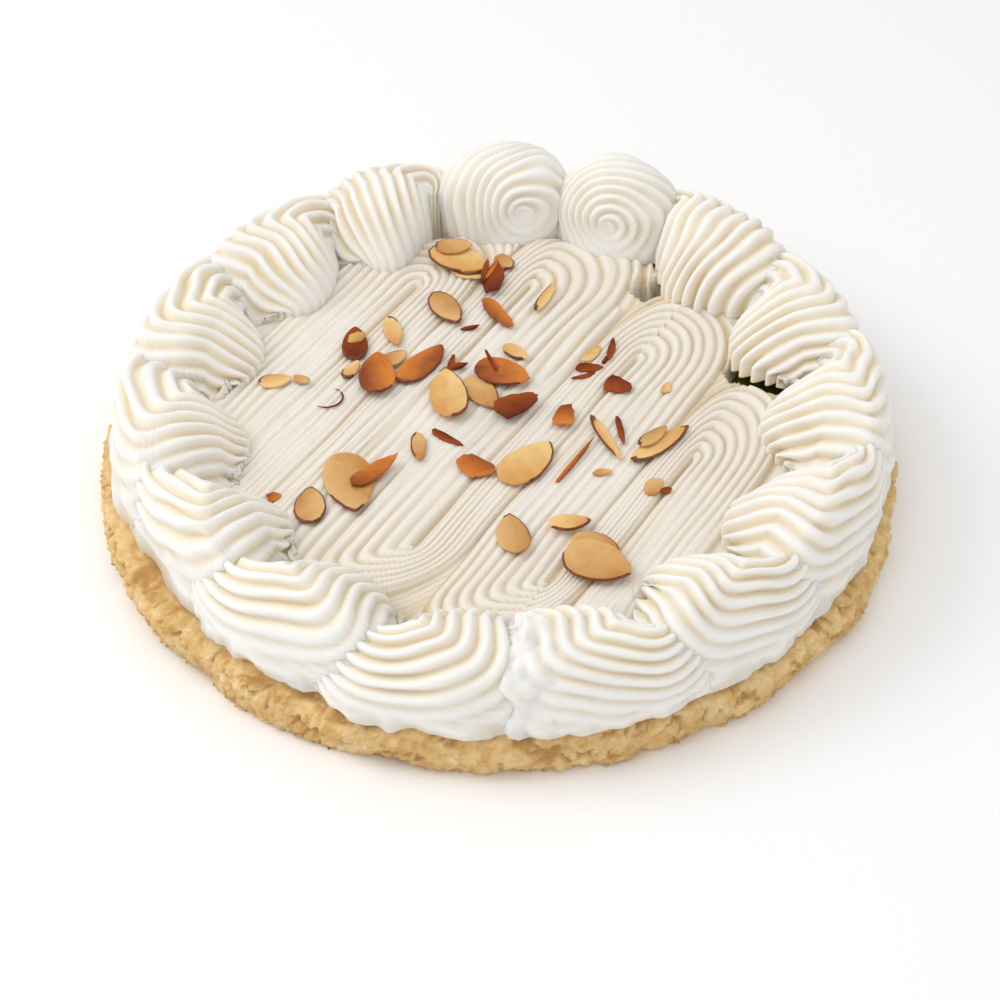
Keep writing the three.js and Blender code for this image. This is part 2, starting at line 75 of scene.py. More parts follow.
# Camera of the photo: above the front, aimed at the centre of the crust's underside
CAMERA_ELEVATION = 42.46
CAMERA_DISTANCE = 650.0
CAMERA_LENS = 77.01
CAMERA_SHIFT = (0.00085, -0.02477)


# Small helpers
WAVE_COUNT = 7


def smooth_step(low, high, value):
    """0 at low, 1 at high and an even bend between them."""
    share = np.clip((value - low) / (high - low), 0, 1)
    return share * share * (3 - 2 * share)


def waves(seed, points, length):
    """Soft random undulation between about -1 and 1: waves of about this length over the points' columns."""
    draw = np.random.RandomState(seed)
    total = np.zeros(len(points))
    for _ in range(WAVE_COUNT):
        heading = draw.normal(size=points.shape[1])
        heading *= draw.uniform(0.6, 1.5) * 2 * math.pi / (length * np.linalg.norm(heading))
        total += np.sin(points @ heading + draw.uniform(0, 2 * math.pi))
    return total / math.sqrt(WAVE_COUNT)


def undulate(seed, points, *layers, step=1):
    """Sum of layers of soft random undulation, each given as its height and length."""
    total = np.zeros(len(points))
    for i, (height, length) in enumerate(layers):
        total += height * waves(seed + step * i, points, length)
    return total


def turned(x, y, angle):
    """Plane coordinates turned round the origin by an angle in degrees."""
    cosine = math.cos(math.radians(angle))
    sine = math.sin(math.radians(angle))
    return x * cosine - y * sine, x * sine + y * cosine


def make_piece(name, points, faces, material, node, values):
    """A smooth mesh from points in millimetres, riding on the pie and standing for the named solid."""
    mesh = bpy.data.meshes.new(name)
    mesh.from_pydata((points * MM).tolist(), [], faces)
    mesh.polygons.foreach_set("use_smooth", [True] * len(mesh.polygons))
    for key, value in values.items():
        layer = mesh.attributes.new(key, "FLOAT", "POINT")
        layer.data.foreach_set("value", np.asarray(value, np.float32))
    mesh.materials.append(material)
    piece = bpy.data.objects.new(name, mesh)
    bpy.context.scene.collection.objects.link(piece)
    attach(piece, "root")
    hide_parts(node)


def grid_faces(rows, columns, flip=False, wrap=False):
    """Quads of a grid of points stored row by row. wrap joins the last column to the first."""
    across = columns if wrap else columns - 1
    r, c = np.meshgrid(np.arange(rows - 1), np.arange(across), indexing="ij")
    a = r * columns + c
    b = r * columns + (c + 1) % columns
    quads = np.stack([a, b, b + columns, a + columns], -1).reshape(-1, 4)
    if flip:
        quads = quads[:, ::-1]
    return quads.tolist()


def ball_faces(rows, columns):
    """Faces of rings of points that are stored between a first and a last point."""
    faces = [[0, 1 + i, 1 + (i + 1) % columns] for i in range(columns)]
    for quad in grid_faces(rows, columns, flip=True, wrap=True):
        faces.append([corner + 1 for corner in quad])
    last = 1 + (rows - 1) * columns
    for i in range(columns):
        faces.append([last + columns, last + (i + 1) % columns, last + i])
    return faces


def boundary_edges(quads):
    """Edges that only one quad has, in the direction of its outline."""
    edges = np.concatenate([quads[:, [i, (i + 1) % 4]] for i in range(4)])
    present = {(a, b) for a, b in edges.tolist()}
    return [(a, b) for a, b in present if (b, a) not in present]


def without_pinches(quads):
    """The quads without those round a point where the outline touches itself."""
    while True:
        starts, counts = np.unique([a for a, _ in boundary_edges(quads)], return_counts=True)
        pinched = starts[counts > 1]
        if not len(pinched):
            return quads
        quads = quads[~np.isin(quads, pinched).any(axis=1)]


def boundary_loops(quads):
    """Closed loops of boundary edges, each walked in the direction of its faces."""
    leads = dict(boundary_edges(quads))
    loops = []
    while leads:
        start = next(iter(leads))
        loop = [start]
        following = leads.pop(start)
        while following != start and following in leads:
            loop.append(following)
            following = leads.pop(following)
        loops.append(loop)
    return loops


def close_below(top, quads, foot):
    """Walls from the edge of a sheet down to the height foot gives, and a flat face under each outline."""
    points = [top]
    faces = [list(dict.fromkeys(quad)) for quad in quads.tolist()]
    count = len(top)
    for loop in boundary_loops(quads):
        edge = top[loop].copy()
        edge[:, 2] = foot(edge)
        points.append(edge)
        size = len(loop)
        for i in range(size):
            following = (i + 1) % size
            faces.append([loop[following], loop[i], count + i, count + following])
        faces.append(list(range(count, count + size)))
        count += size
    return np.vstack(points), faces


# Materials

def new_material(name, roughness, specular, subsurface=0.0, radius=(1, 1, 1), depth=0.0):
    material = bpy.data.materials.new(name)
    material.use_nodes = True
    shader = material.node_tree.nodes["Principled BSDF"]
    shader.inputs["Roughness"].default_value = roughness
    shader.inputs["Specular IOR Level"].default_value = specular
    if subsurface:
        shader.inputs["Subsurface Weight"].default_value = subsurface
        shader.inputs["Subsurface Radius"].default_value = radius
        shader.inputs["Subsurface Scale"].default_value = depth
    return material, material.node_tree, shader


def add_node(tree, kind, **settings):
    node = tree.nodes.new(kind)
    for key, value in settings.items():
        setattr(node, key, value)
    return node


def noise(tree, scale, detail=3.0, distortion=0.0):
    where = add_node(tree, "ShaderNodeTexCoord")
    node = add_node(tree, "ShaderNodeTexNoise")
    node.inputs["Scale"].default_value = scale
    node.inputs["Detail"].default_value = detail
    node.inputs["Distortion"].default_value = distortion
    tree.links.new(where.outputs["Object"], node.inputs["Vector"])
    return node.outputs["Fac"]


def ramp(tree, factor, stops):
    node = add_node(tree, "ShaderNodeValToRGB")
    elements = node.color_ramp.elements
    while len(elements) < len(stops):
        elements.new(0.5)
    for element, (place, colour) in zip(elements, stops):
        element.position = place
        element.color = (*colour, 1)
    tree.links.new(factor, node.inputs["Fac"])
    return node.outputs["Color"]


def feed(tree, socket, value):
    """Link an input to the output of another node, or set it to a colour or a number."""
    if isinstance(value, bpy.types.NodeSocket):
        tree.links.new(value, socket)
    elif isinstance(value, tuple):
        socket.default_value = (*value, 1)
    else:
        socket.default_value = value


def mix(tree, factor, first, second, blend="MIX"):
    """Mix of two colours. The node holds its factor and colours in inputs 0, 6 and 7."""
    node = add_node(tree, "ShaderNodeMix", data_type="RGBA", blend_type=blend)
    for place, value in ((0, factor), (6, first), (7, second)):
        feed(tree, node.inputs[place], value)
    return node.outputs[2]


def attribute(tree, name):
    return add_node(tree, "ShaderNodeAttribute", attribute_name=name).outputs["Fac"]


def math_node(tree, operation, first, second):
    node = add_node(tree, "ShaderNodeMath", operation=operation)
    for socket, value in zip(node.inputs, (first, second)):
        feed(tree, socket, value)
    return node.outputs[0]


def bump(tree, shader, height, strength, distance):
    node = add_node(tree, "ShaderNodeBump")
    node.inputs["Strength"].default_value = strength
    node.inputs["Distance"].default_value = distance * MM
    tree.links.new(height, node.inputs["Height"])
    tree.links.new(node.outputs["Normal"], shader.inputs["Normal"])


def cream_material(name, crest, valley):
    """Whipped cream: the crest colour, painted darker and warmer towards the valley colour as painted shade
    in the grooves, crevices and under the cream; a faint grain of small bubbles.
    """
    material, tree, shader = new_material(
        name, roughness=0.42, specular=0.35, subsurface=0.55, radius=(1.0, 0.72, 0.42), depth=0.0022)
    # Painted shade: the painted shade attribute mixes the crest colour towards the darker, warmer valley
    # colour in grooves, crevices and under the cream.
    body = mix(tree, attribute(tree, "painted_shade"), crest, valley)
    blotch = ramp(tree, noise(tree, 45.0), [(0.3, (0.965, 0.955, 0.935)), (0.7, (1.0, 1.0, 1.0))])
    tree.links.new(mix(tree, 1.0, body, blotch, "MULTIPLY"), shader.inputs["Base Color"])
    bump(tree, shader, noise(tree, 900.0, 4.0), 0.12, 0.25)
    return material


def crust_material():
    """Baked pastry: golden crumbs, darker in the cracks."""
    material, tree, shader = new_material(
        "crust_pastry", roughness=0.78, specular=0.25, subsurface=0.12, radius=(1.0, 0.5, 0.2), depth=0.0012)
    tone = ramp(tree, noise(tree, 210.0, 7.0, 0.4), [
        (0.25, (0.62, 0.37, 0.13)),
        (0.45, (0.82, 0.55, 0.23)),
        (0.62, (0.9, 0.67, 0.35)),
        (0.8, (0.95, 0.82, 0.55)),
    ])
    cracked = mix(tree, attribute(tree, "crack"), tone, (0.55, 0.3, 0.1))
    patch = ramp(tree, noise(tree, 38.0, 3.0), [(0.3, (0.86, 0.82, 0.74)), (0.65, (1.0, 1.0, 1.0))])
    tree.links.new(mix(tree, 1.0, cracked, patch, "MULTIPLY"), shader.inputs["Base Color"])
    grain = math_node(tree, "ADD", noise(tree, 420.0, 5.0), noise(tree, 1500.0, 4.0))
    bump(tree, shader, grain, 0.55, 0.8)
    return material


def filling_material():
    """Custard between the creams, coloured dark olive: painted shade, standing for yellow custard as it
    looks in shade.
    """
    material, tree, shader = new_material(
        "custard_painted_shade", roughness=0.3, specular=0.45,
        subsurface=0.2, radius=(1.0, 0.7, 0.2), depth=0.0015)
    # Painted shade: dark olive tones that stand for yellow custard lying in shade.
    tone = ramp(tree, noise(tree, 90.0, 4.0, 0.6), [
        (0.3, (0.085, 0.075, 0.008)),
        (0.55, (0.19, 0.17, 0.022)),
        (0.8, (0.4, 0.33, 0.08)),
    ])
    tree.links.new(tone, shader.inputs["Base Color"])
    bump(tree, shader, noise(tree, 260.0, 4.0), 0.3, 0.4)
    return material


def almond_material(name, face, shade, specular=0.4):
    """An almond slice: a veined face, toasted to one side, brown where the attribute skin is high."""
    material, tree, shader = new_material(
        name, roughness=0.42, specular=specular, subsurface=0.2, radius=(1.0, 0.55, 0.22), depth=0.0012)
    grain = math_node(tree, "MULTIPLY", noise(tree, 170.0, 5.0, 0.8), 0.5)
    toast = math_node(tree, "MULTIPLY", attribute(tree, "toast"), 0.5)
    tone = ramp(tree, math_node(tree, "ADD", grain, toast), [(0.24, shade), (0.7, face)])
    speck = noise(tree, 600.0, 4.0)
    skin_tone = ramp(tree, speck, [(0.3, (0.1, 0.024, 0.006)), (0.7, (0.27, 0.08, 0.022))])
    ragged = math_node(tree, "ADD", attribute(tree, "skin"), math_node(tree, "MULTIPLY", speck, 0.5))
    covered = ramp(tree, ragged, [(0.68, (0.0, 0.0, 0.0)), (0.8, (1.0, 1.0, 1.0))])
    tree.links.new(mix(tree, covered, tone, skin_tone), shader.inputs["Base Color"])
    bump(tree, shader, noise(tree, 700.0, 4.0), 0.25, 0.3)
    return material


# Crest colour, and the darker, warmer valley colour that is painted shade in the grooves, crevices and under
# the cream.
SWIRL_CREAM = cream_material("whipped_cream", (0.915, 0.908, 0.888), (0.85, 0.74, 0.53))
# The piped cream is a darker copy of the whipped cream: its darkness is painted shade on the lower middle.
PIPED_CREAM_PAINTED_SHADE = cream_material("piped_cream_painted_shade", (0.84, 0.8, 0.735), (0.71, 0.585, 0.4))
PASTRY = crust_material()
CUSTARD_PAINTED_SHADE = filling_material()
ALMOND_LOOKS = {
    "pale": almond_material("almond_pale_face", (0.83, 0.56, 0.23), (0.66, 0.32, 0.075)),
    "tan": almond_material("almond_tan_face", (0.71, 0.43, 0.165), (0.52, 0.23, 0.05)),
    "toasted": almond_material("almond_toasted_face", (0.66, 0.21, 0.022), (0.24, 0.04, 0.003), 0.3),
    "skin": almond_material("almond_skin_face", (0.33, 0.065, 0.007), (0.12, 0.015, 0.0015), 0.15),
}


# Crust: a shell whose wall crumbles into lumps with cracks between them
CRUST_STEPS = 900
CRUST_ROWS = 44
CRUST_LUMPS = 640
CRUST_SEED = 11
LUMP_RISE = 0.9
LUMP_RADIUS = 4.0
LUMP_LOW = 1.4
CRACK_WIDTH = 1.1
CRACK_DEPTH = 0.6
CRACK_RUN = 9.0
CRUMBS = ((0.42, 3.0), (0.3, 1.5))
BROAD_BULGE = (0.6, 26.0)
FOOT_CRUMB = (0.8, 2.4)
FOOT_HEIGHT = 3.0
CRUST_FLOOR = (40.0, 90.0)


def nearest_two(points, seeds):
    """Distances to the nearest and second nearest seed."""
    near = np.full((len(points), 2), np.inf)
    for seed in seeds:
        away = np.linalg.norm(points - seed, axis=1)
        closer = away < near[:, 0]
        near[:, 1] = np.where(closer, near[:, 0], np.minimum(near[:, 1], away))
        near[:, 0] = np.where(closer, away, near[:, 0])
    return near


def crust_profile():
    """Radii and heights of the shell: under the floor, up the wall and back over the floor."""
    wall = np.array([
        (CRUST_RADIUS - 1, 0.0), (CRUST_RADIUS + 0.4, 1.4), (CRUST_RADIUS + 1, 4.0), (CRUST_FLARE, 7.0),
        (CRUST_FLARE, 10.0), (CRUST_FLARE - 1.8, 13.0), (CRUST_FLARE - 6, CRUST_HEIGHT),
        (CRUST_BORE + 1.5, CRUST_HEIGHT - 0.6),
    ])
    runs = np.concatenate([[0], np.cumsum(np.linalg.norm(np.diff(wall, axis=0), axis=1))])
    fine = np.linspace(0, runs[-1], CRUST_ROWS)
    outside = np.column_stack([np.interp(fine, runs, values) for values in wall.T])
    under = [(radius, 0) for radius in CRUST_FLOOR]
    inside = [(CRUST_BORE, CRUST_HEIGHT - 2.6), (CRUST_BORE - 1.5, CRUST_BASE), (CRUST_FLOOR[0], CRUST_BASE)]
    return np.vstack([under, outside, inside]).T


def crumble(place):
    """Points of the smooth shell moved out and up into lumps and crumbs, and depth of the cracks."""
    draw = np.random.RandomState(CRUST_SEED)
    away = CRUST_FLARE - 1
    seeds = []
    for _ in range(CRUST_LUMPS):
        turn = draw.uniform(0, 2 * math.pi)
        seeds.append([away * math.cos(turn), away * math.sin(turn), draw.uniform(-1, CRUST_HEIGHT + 1)])
    near = nearest_two(place, np.array(seeds))
    lump = LUMP_RISE * (1 - np.clip(near[:, 0] / LUMP_RADIUS, 0, LUMP_LOW) ** 2)
    crack = smooth_step(CRACK_WIDTH, 0.1, near[:, 1] - near[:, 0])
    crack *= smooth_step(-0.1, 0.5, waves(5, place, CRACK_RUN))
    crumb = undulate(1, place, *CRUMBS)
    broad = undulate(3, place, BROAD_BULGE)
    flat = place[:, 2]
    foot = smooth_step(FOOT_HEIGHT, 0.3, flat) * (undulate(4, place, FOOT_CRUMB) - 0.3)
    rise = broad + lump + crumb - CRACK_DEPTH * crack + foot - 0.5
    rim = np.linalg.norm(place[:, :2], axis=1)
    active = smooth_step(CRUST_BORE + 1, CRUST_BORE + 6, rim)
    out = 1 + active * rise / np.maximum(rim, 1)
    top = smooth_step(CRUST_HEIGHT - 4, CRUST_HEIGHT, flat) * active
    lift = top * (0.5 * lump + crumb + 0.4 * broad - 0.4)
    place = np.column_stack([place[:, 0] * out, place[:, 1] * out, np.maximum(flat + lift, 0)])
    return place, crack * active


def build_crust():
    radii, heights = crust_profile()
    angle = np.linspace(0, 2 * math.pi, CRUST_STEPS, endpoint=False)
    radius, around = [values.ravel() for values in np.meshgrid(radii, angle, indexing="ij")]
    height = np.repeat(heights, CRUST_STEPS)
    place, crack = crumble(np.column_stack([radius * np.cos(around), radius * np.sin(around), height]))
    bottom, middle = len(place), len(place) + 1
    points = np.vstack([place, [[0, 0, 0], [0, 0, CRUST_BASE]]])
    faces = grid_faces(len(radii), CRUST_STEPS, wrap=True)
    last = len(place) - CRUST_STEPS
    for i in range(CRUST_STEPS):
        following = (i + 1) % CRUST_STEPS
        faces.append([bottom, following, i])
        faces.append([middle, last + i, last + following])
    make_piece("crust_shell", points, faces, PASTRY, "crust",
               {"crack": np.concatenate([crack, [0, 0]])})


# Piping in the middle: ridged legs side by side, joined in pairs by turns at the back or the front.
# b runs across the legs and a along them. An edge between two legs may hold a turn: turn is 1 for one at the
# back, -1 for one at the front and 0 for none, a is where it starts, reach how far it goes, extra how much
# wider it stays and slant how far it leans.
Edge = namedtuple("Edge", "b turn a reach extra slant", defaults=(0, 0, 1, 0, 0))
LEG_EDGES = [
    Edge(-80),
    Edge(-53.5, 1, 38, 32, extra=14),
    Edge(-37),
    Edge(-23, 1, 56, 46),
    Edge(9.3, -1, -60, 24, slant=0.8),
    Edge(23, 1, 42, 36),
    Edge(48, -1, -53, 24, slant=0.7),
    Edge(58.5, 1, 10, 41),
    Edge(80),
]
LEGS = list(zip(LEG_EDGES, LEG_EDGES[1:]))

# A gap between two turns shows the filling: its place across and along the legs, and its half sizes
GAP_PLACE = (7.5, 73.0)
GAP_SIZE = (2.6, 7.0)
GAP_DROP = 3.0
GAP_EDGE = 1.8

# Shape of the legs, their turns and the edge of the middle
EDGE_DROP = 3.0
EDGE_BAND = 7.0
TURN_POWER = 2.2
RIM_POWER = 2.8
TURN_FADE = (-45.0, 5.0)
LEAST = 0.01
LEG_CROWN = 0.4
LEG_VALLEY_POWER = 1.2
SAG = 4.0
SAG_WIDTH = 2.0
SAG_SLOPE = 1.6
MIDDLE_SWELL = (0.35, 34.0)
MIDDLE_DROP = 0.2

# Ridges of the legs: their depth, their wander and how much of them shows on legs and in turns
RIDGE_SHARE = 0.33
RIDGE_RANGE = (0.4, 1.5)
RIDGE_DRIFT = (0.16, 22.0)
DRIFT_STRETCH = (1.0, 3.0)
BROAD_LENGTH = 24.0
BROAD_STRETCH = (1.0, 2.2)
STREAK_RIDGES = 2.6
STREAK_RUN = 45.0
FINE_WIDTH = 1.9
FINE_RUN = 60.0
FINE_RELIEF = 0.2
FINE_LOSS = 0.8
PLAIN_STRENGTH = 0.4
PLAIN_BROAD = 0.3
PLAIN_STREAK = 0.25
PLAIN_RANGE = (0.08, 0.95)
TURNED_STREAK = 0.12
TURNED_RANGE = (0.7, 1.2)

# Crevices between the legs, and the painted shade: how much darker the grooves, crevices and rims are
# painted, and how far the fine relief is painted lighter and darker
CREVICE = 3.0
CREVICE_WIDTH = 0.9
CREVICE_POWER = 1.3
CREVICE_DEPTH = (0.2, 0.6)
CREVICE_SHADE = (0.35, 0.5)
VALLEY_SHADE = 0.85
RIM_SHADE = 0.05
FINE_SHADE = 0.1

# Grid of the piping
LEG_STEPS = 8
OUTSIDE_STEPS = 12
PIPING_ROWS = 206


def leg_course(left, right, b, a):
    """Share of the way across a leg, distance past the rim of a turn, share of turning and ridge spacing."""
    width = right.b - left.b
    share = (b - left.b) / width
    rim = np.zeros(len(b))
    turning = np.zeros(len(b))
    spacing = np.full(len(b), width / LEG_RIDGES)
    for edge, side in ((left, 1), (right, -1)):
        if not edge.turn:
            continue
        ahead = (a - edge.a) * edge.turn + edge.slant * (b - edge.b)
        along = np.maximum(ahead, 0) / edge.reach
        across = np.abs(b - edge.b) / width
        beyond = along > 0
        reach = (across ** TURN_POWER + along ** TURN_POWER) ** (1 / TURN_POWER)
        share = np.where(beyond, reach if side > 0 else 1 - reach, share)
        outer = (across ** RIM_POWER + along ** RIM_POWER) ** (1 / RIM_POWER)
        rim = np.where(beyond, np.maximum((outer - 1) * edge.reach - edge.extra, 0), rim)
        turning = np.maximum(turning, smooth_step(*TURN_FADE, ahead))
        safe = np.maximum(reach, LEAST)
        steep = (along / safe) ** (TURN_POWER - 1) / edge.reach
        level = (across / safe) ** (TURN_POWER - 1) / width
        slope = np.hypot(steep, level + side * edge.slant * steep)
        spacing = np.where(beyond, 1 / (LEG_RIDGES * np.maximum(slope, LEAST)), spacing)
    return share, rim, turning, spacing


def piping_surface(b, a):
    """Height and painted shade of the piped cream at points of the middle, and which points it covers. The
    painted shade is darker in the ridge valleys, the crevices and over the rims.
    """
    height = np.full(len(b), -1.0)
    painted_shade = np.zeros(len(b))
    covered = np.zeros(len(b), bool)
    plane = np.column_stack([b, a])
    broad = waves(21, plane / BROAD_STRETCH, BROAD_LENGTH)
    drift = undulate(22, plane / DRIFT_STRETCH, RIDGE_DRIFT)
    for leg, (left, right) in enumerate(LEGS):
        inside = (b >= left.b) & (b <= right.b)
        width = right.b - left.b
        share, rim, turning, spacing = leg_course(left, right, b, a)
        within = np.clip(share, 0, 1)
        phase = LEG_RIDGES * share + drift * np.sin(math.pi * within)
        valley = (1 - np.abs(np.sin(math.pi * phase))) ** LEG_VALLEY_POWER
        streak = waves(24, np.column_stack([phase + 20 * leg, a / STREAK_RUN]), STREAK_RIDGES)
        fine = waves(25, np.column_stack([share * width / FINE_WIDTH + 40 * leg, a / FINE_RUN]), 1.0)
        plain = np.clip(PLAIN_STRENGTH + PLAIN_BROAD * broad + PLAIN_STREAK * streak, *PLAIN_RANGE)
        in_turn = np.clip(1 + TURNED_STREAK * streak, *TURNED_RANGE)
        strength = plain + (in_turn - plain) * turning
        depth = np.clip(RIDGE_SHARE * spacing, *RIDGE_RANGE) * strength
        from_side = np.minimum(np.abs(share), np.abs(1 - share)) * width
        crevice = np.exp(-(from_side / CREVICE_WIDTH) ** CREVICE_POWER)
        sunk = CREVICE * crevice * (CREVICE_DEPTH[0] + CREVICE_DEPTH[1] * turning)
        crown = LEG_CROWN * np.abs(2 * within - 1) ** 3
        sag = SAG * (1 - np.exp(-rim / SAG_WIDTH)) + SAG_SLOPE * rim
        z = PIPING_TOP - depth * valley - sunk - crown - sag
        z += FINE_RELIEF * fine * (1 - FINE_LOSS * turning)
        take = inside & (z > height)
        height = np.where(take, z, height)
        # Painted shade: darker in the crevices between legs, in the ridge valleys and over the rims, lighter
        # and darker with the fine relief.
        painted_crevice_shade = (CREVICE_SHADE[0] + CREVICE_SHADE[1] * turning) * crevice
        shade = VALLEY_SHADE * valley * strength + painted_crevice_shade + RIM_SHADE * rim - FINE_SHADE * fine
        painted_shade = np.where(take, np.clip(shade, 0, 1), painted_shade)
        covered |= inside
    height += undulate(23, plane, MIDDLE_SWELL) - MIDDLE_DROP
    off = np.hypot(*((plane - GAP_PLACE) / GAP_SIZE).T)
    height -= GAP_DROP * smooth_step(GAP_EDGE, 1.0, off)
    return height, painted_shade, covered & (off > 1)


def build_piping():
    per_leg = LEG_RIDGES * LEG_STEPS
    columns = np.concatenate([
        np.linspace(-PIPING_RADIUS, LEG_EDGES[0].b, OUTSIDE_STEPS, endpoint=False),
        *[np.linspace(left.b, right.b, per_leg, endpoint=False) for left, right in LEGS],
        np.linspace(LEG_EDGES[-1].b, PIPING_RADIUS, OUTSIDE_STEPS),
    ])
    rows = np.linspace(-PIPING_RADIUS, PIPING_RADIUS, PIPING_ROWS)
    a, b = [values.ravel() for values in np.meshgrid(rows, columns, indexing="ij")]
    height, painted_shade, covered = piping_surface(b, a)
    x, y = turned(a, -b, LEG_ANGLE)
    radius = np.hypot(x, y)
    for bed_x, bed_y, bed_radius in BEDS:
        in_bed = np.hypot(x - bed_x, y - bed_y) < bed_radius
        height = np.where(in_bed, np.maximum(height, BED_TOP), height)
        covered |= in_bed
    height -= EDGE_DROP * smooth_step(PIPING_RADIUS - EDGE_BAND, PIPING_RADIUS, radius)
    keep = covered & (radius < PIPING_RADIUS) & (height > PIPING_FOOT + 1.0)
    quads = np.array(grid_faces(len(rows), len(columns), flip=True))
    quads = without_pinches(quads[keep[quads].all(1)])
    used, order = np.unique(quads, return_inverse=True)
    quads = order.reshape(quads.shape)
    top = np.column_stack([x, y, height])[used]
    points, faces = close_below(top, quads, lambda edge: np.full(len(edge), PIPING_FOOT))
    # Painted shade: the walls and the base under the sheet get the full valley colour.
    painted_shade = np.concatenate([painted_shade[used], np.ones(len(points) - len(top))])
    make_piece("cream_middle", points, faces, PIPED_CREAM_PAINTED_SHADE, "cream_piping", {"painted_shade": painted_shade})


# Swirls: two runs start at the back and meet at the front. Each swirl is a puffed hump. Its ridges bend
# round a focus beside the swirl before it, bulge out over the rim and then run inwards.
# angle and radius place the focus, outer is the radius of the lower edge, inner that of the inner ends and
# top the height of the crest. curl is how far the ridges bend back at their inner ends, skirt how far they
# fade towards the rim and slant how far they lean forwards on the way inwards. back is how far the hump
# reaches behind the focus, lumps how rough its far end is and teeth how far the ridges part at their ends.
Swirl = namedtuple(
    "Swirl", "name angle radius outer inner top curl skirt slant back lumps teeth", defaults=(8, 0, 1))
LEFT_RUN = [
    Swirl("swirl_15", 103.5, 98, 115, 74.5, 47, 12, 0.7, 0.6, teeth=0),
    Swirl("swirl_14", 124.5, 92, 115, 73.5, 45, 11, 0.7, 0.5, teeth=0),
    Swirl("swirl_13", 151, 87, 115, 74.5, 44, 7, 0.5, 0.3),
    Swirl("swirl_12", 179, 83, 115, 74.5, 44, 6, 0.4, 0.4),
    Swirl("swirl_11", 206, 87, 112.5, 76.5, 45, 7, 0.4, 0.6),
    Swirl("swirl_10", 230, 93, 115, 81.5, 44, 4, 0.7, 0.9),
    Swirl("swirl_09", 254, 96, 118.5, 88, 41, 0, 0.7, 1.2, back=10),
]
RIGHT_RUN = [
    Swirl("swirl_03", 58.5, 101, 116, 74.5, 47, 0, 0.7, 0),
    Swirl("swirl_04", 31, 92, 116.5, 74.5, 44, 3, 0.6, 0.1),
    Swirl("swirl_05", 7.5, 94, 116.5, 76.5, 45, 5, 0.5, 0.25),
    Swirl("swirl_06", -19.5, 97, 116, 78.5, 45, 6, 0.5, 0.5),
    Swirl("swirl_07", -46, 99, 116.5, 81.5, 44, 4, 0.7, 0.9),
    Swirl("swirl_08", -68, 99, 119, 88, 41, 0, 0.7, 1.2, lumps=2.2),
]
# Angles where the two runs meet at the front
LEFT_END = 276.0
RIGHT_END = -92.0

# Shape of a hump: where its crest lies, how it rounds off and the heights of its edges
SPAN_OVER = 1.05
CROWN_SHARE = 0.45
CREST_RADIUS = 99.0
CREST_OUT = 6.0
HUMP_POWER = 2.5
SKIRT_POWER = 2.0
INNER_POWER = 2.0
HUMP_ROUND = 0.5
INNER_SLOPE = 0.3
NEARLY_EDGE = 0.99
FLANK = 15.0
SWIRL_PIT = 5.0
PIT_RADIUS = 6.0
RIM_EDGE = 14.0
HANGING_EDGE = 12.5
HANGING_RADIUS = 116.2
SIDE_EDGE = 23.0
LIP = 29.3
FOOT_RADIUS = 104.0
FOOT_TUCK = 5.0
FOOT_INSIDE = 23.0
FOOT_OUTSIDE = 20.0

# Course of the ridges: round the focus, then inwards
FAN_START = 15.0
FIRST_SHARE = 0.02
ROUND_POWER = 3.0
SPREAD = 1.25
OPEN_REACH = 1e6
SHORTEST_RUN = 1.5
REACH_FIRST = 0.3
REACH_GAIN = 0.7
REACH_FULL = 0.6
REACH_LOSS = 0.2
REACH_LATE = 0.75
FAN_STEPS = 72
RUN_STEPS = 34
RIDGE_STEPS = 12
OUTLINE_RANGE = (1.0, 60.0)
HALVINGS = 24
RUN_ROUNDS = 4

# Relief of the ridges. Undulations are given as height and length.
RIDGE_DEPTH = 2.1
RIDGE_SLOPE = 0.55
GROOVE_POWER = 1.5
FOCUS_SOFT = 0.12
TONGUE = 0.75
TOOTH = 1.5
TOOTH_RUN = (2.0, 8.0)
INNER_END = (0.5, 1.0)
SKIRT_FADE = (0.5, 0.75)
SKIRT_HANG = (0.82, 1.0)
RAGGED_SKIRT = 1.2
RAGGED_LAYERS = ((1.0, 11.0), (0.6, 5.0))
RIDGE_WANDER = (0.14, 24.0)
RIDGE_UNEVEN = (0.16, 16.0)
RIDGE_STRENGTH = (0.5, 0.95, 1.3)
SWELL = (0.35, 20.0)
LUMP_LAYERS = ((0.7, 9.0), (0.4, 4.5))
LUMP_START = (0.5, 0.8)
LUMP_SMOOTH = 0.8
SWIRL_SEED = 300
SEED_STEP = 10


def crest_radius(swirl):
    """Radius of the hump's crest, further out at the sides of the pie than at the back and the front."""
    return CREST_RADIUS + CREST_OUT * math.cos(math.radians(swirl.angle)) ** 2


def swirl_reach(swirl, share):
    """How far the ridges run inwards: little beside the focus, most past the middle."""
    inward = swirl.radius - swirl.inner
    gain = REACH_GAIN * np.sin(0.5 * math.pi * np.minimum(share / REACH_FULL, 1))
    return inward * (REACH_FIRST + gain - REACH_LOSS * smooth_step(REACH_LATE, 1, share))


def side_share(swirl, span, u, w):
    """How far a place lies from the crest along the ring, as a share of the way to the outline."""
    crown = CROWN_SHARE * span
    back = swirl.back + FLANK * np.clip(w / (swirl.outer - swirl.radius), 0, 1)
    share = np.where(u > crown, (u - crown) / (SPAN_OVER * span - crown), (crown - u) / (crown + back))
    crest = crest_radius(swirl)
    skirt = np.clip((swirl.radius + w - crest) / (swirl.outer - crest), 0, 1)
    return np.minimum(share, 1) ** (HUMP_POWER + SKIRT_POWER * skirt)


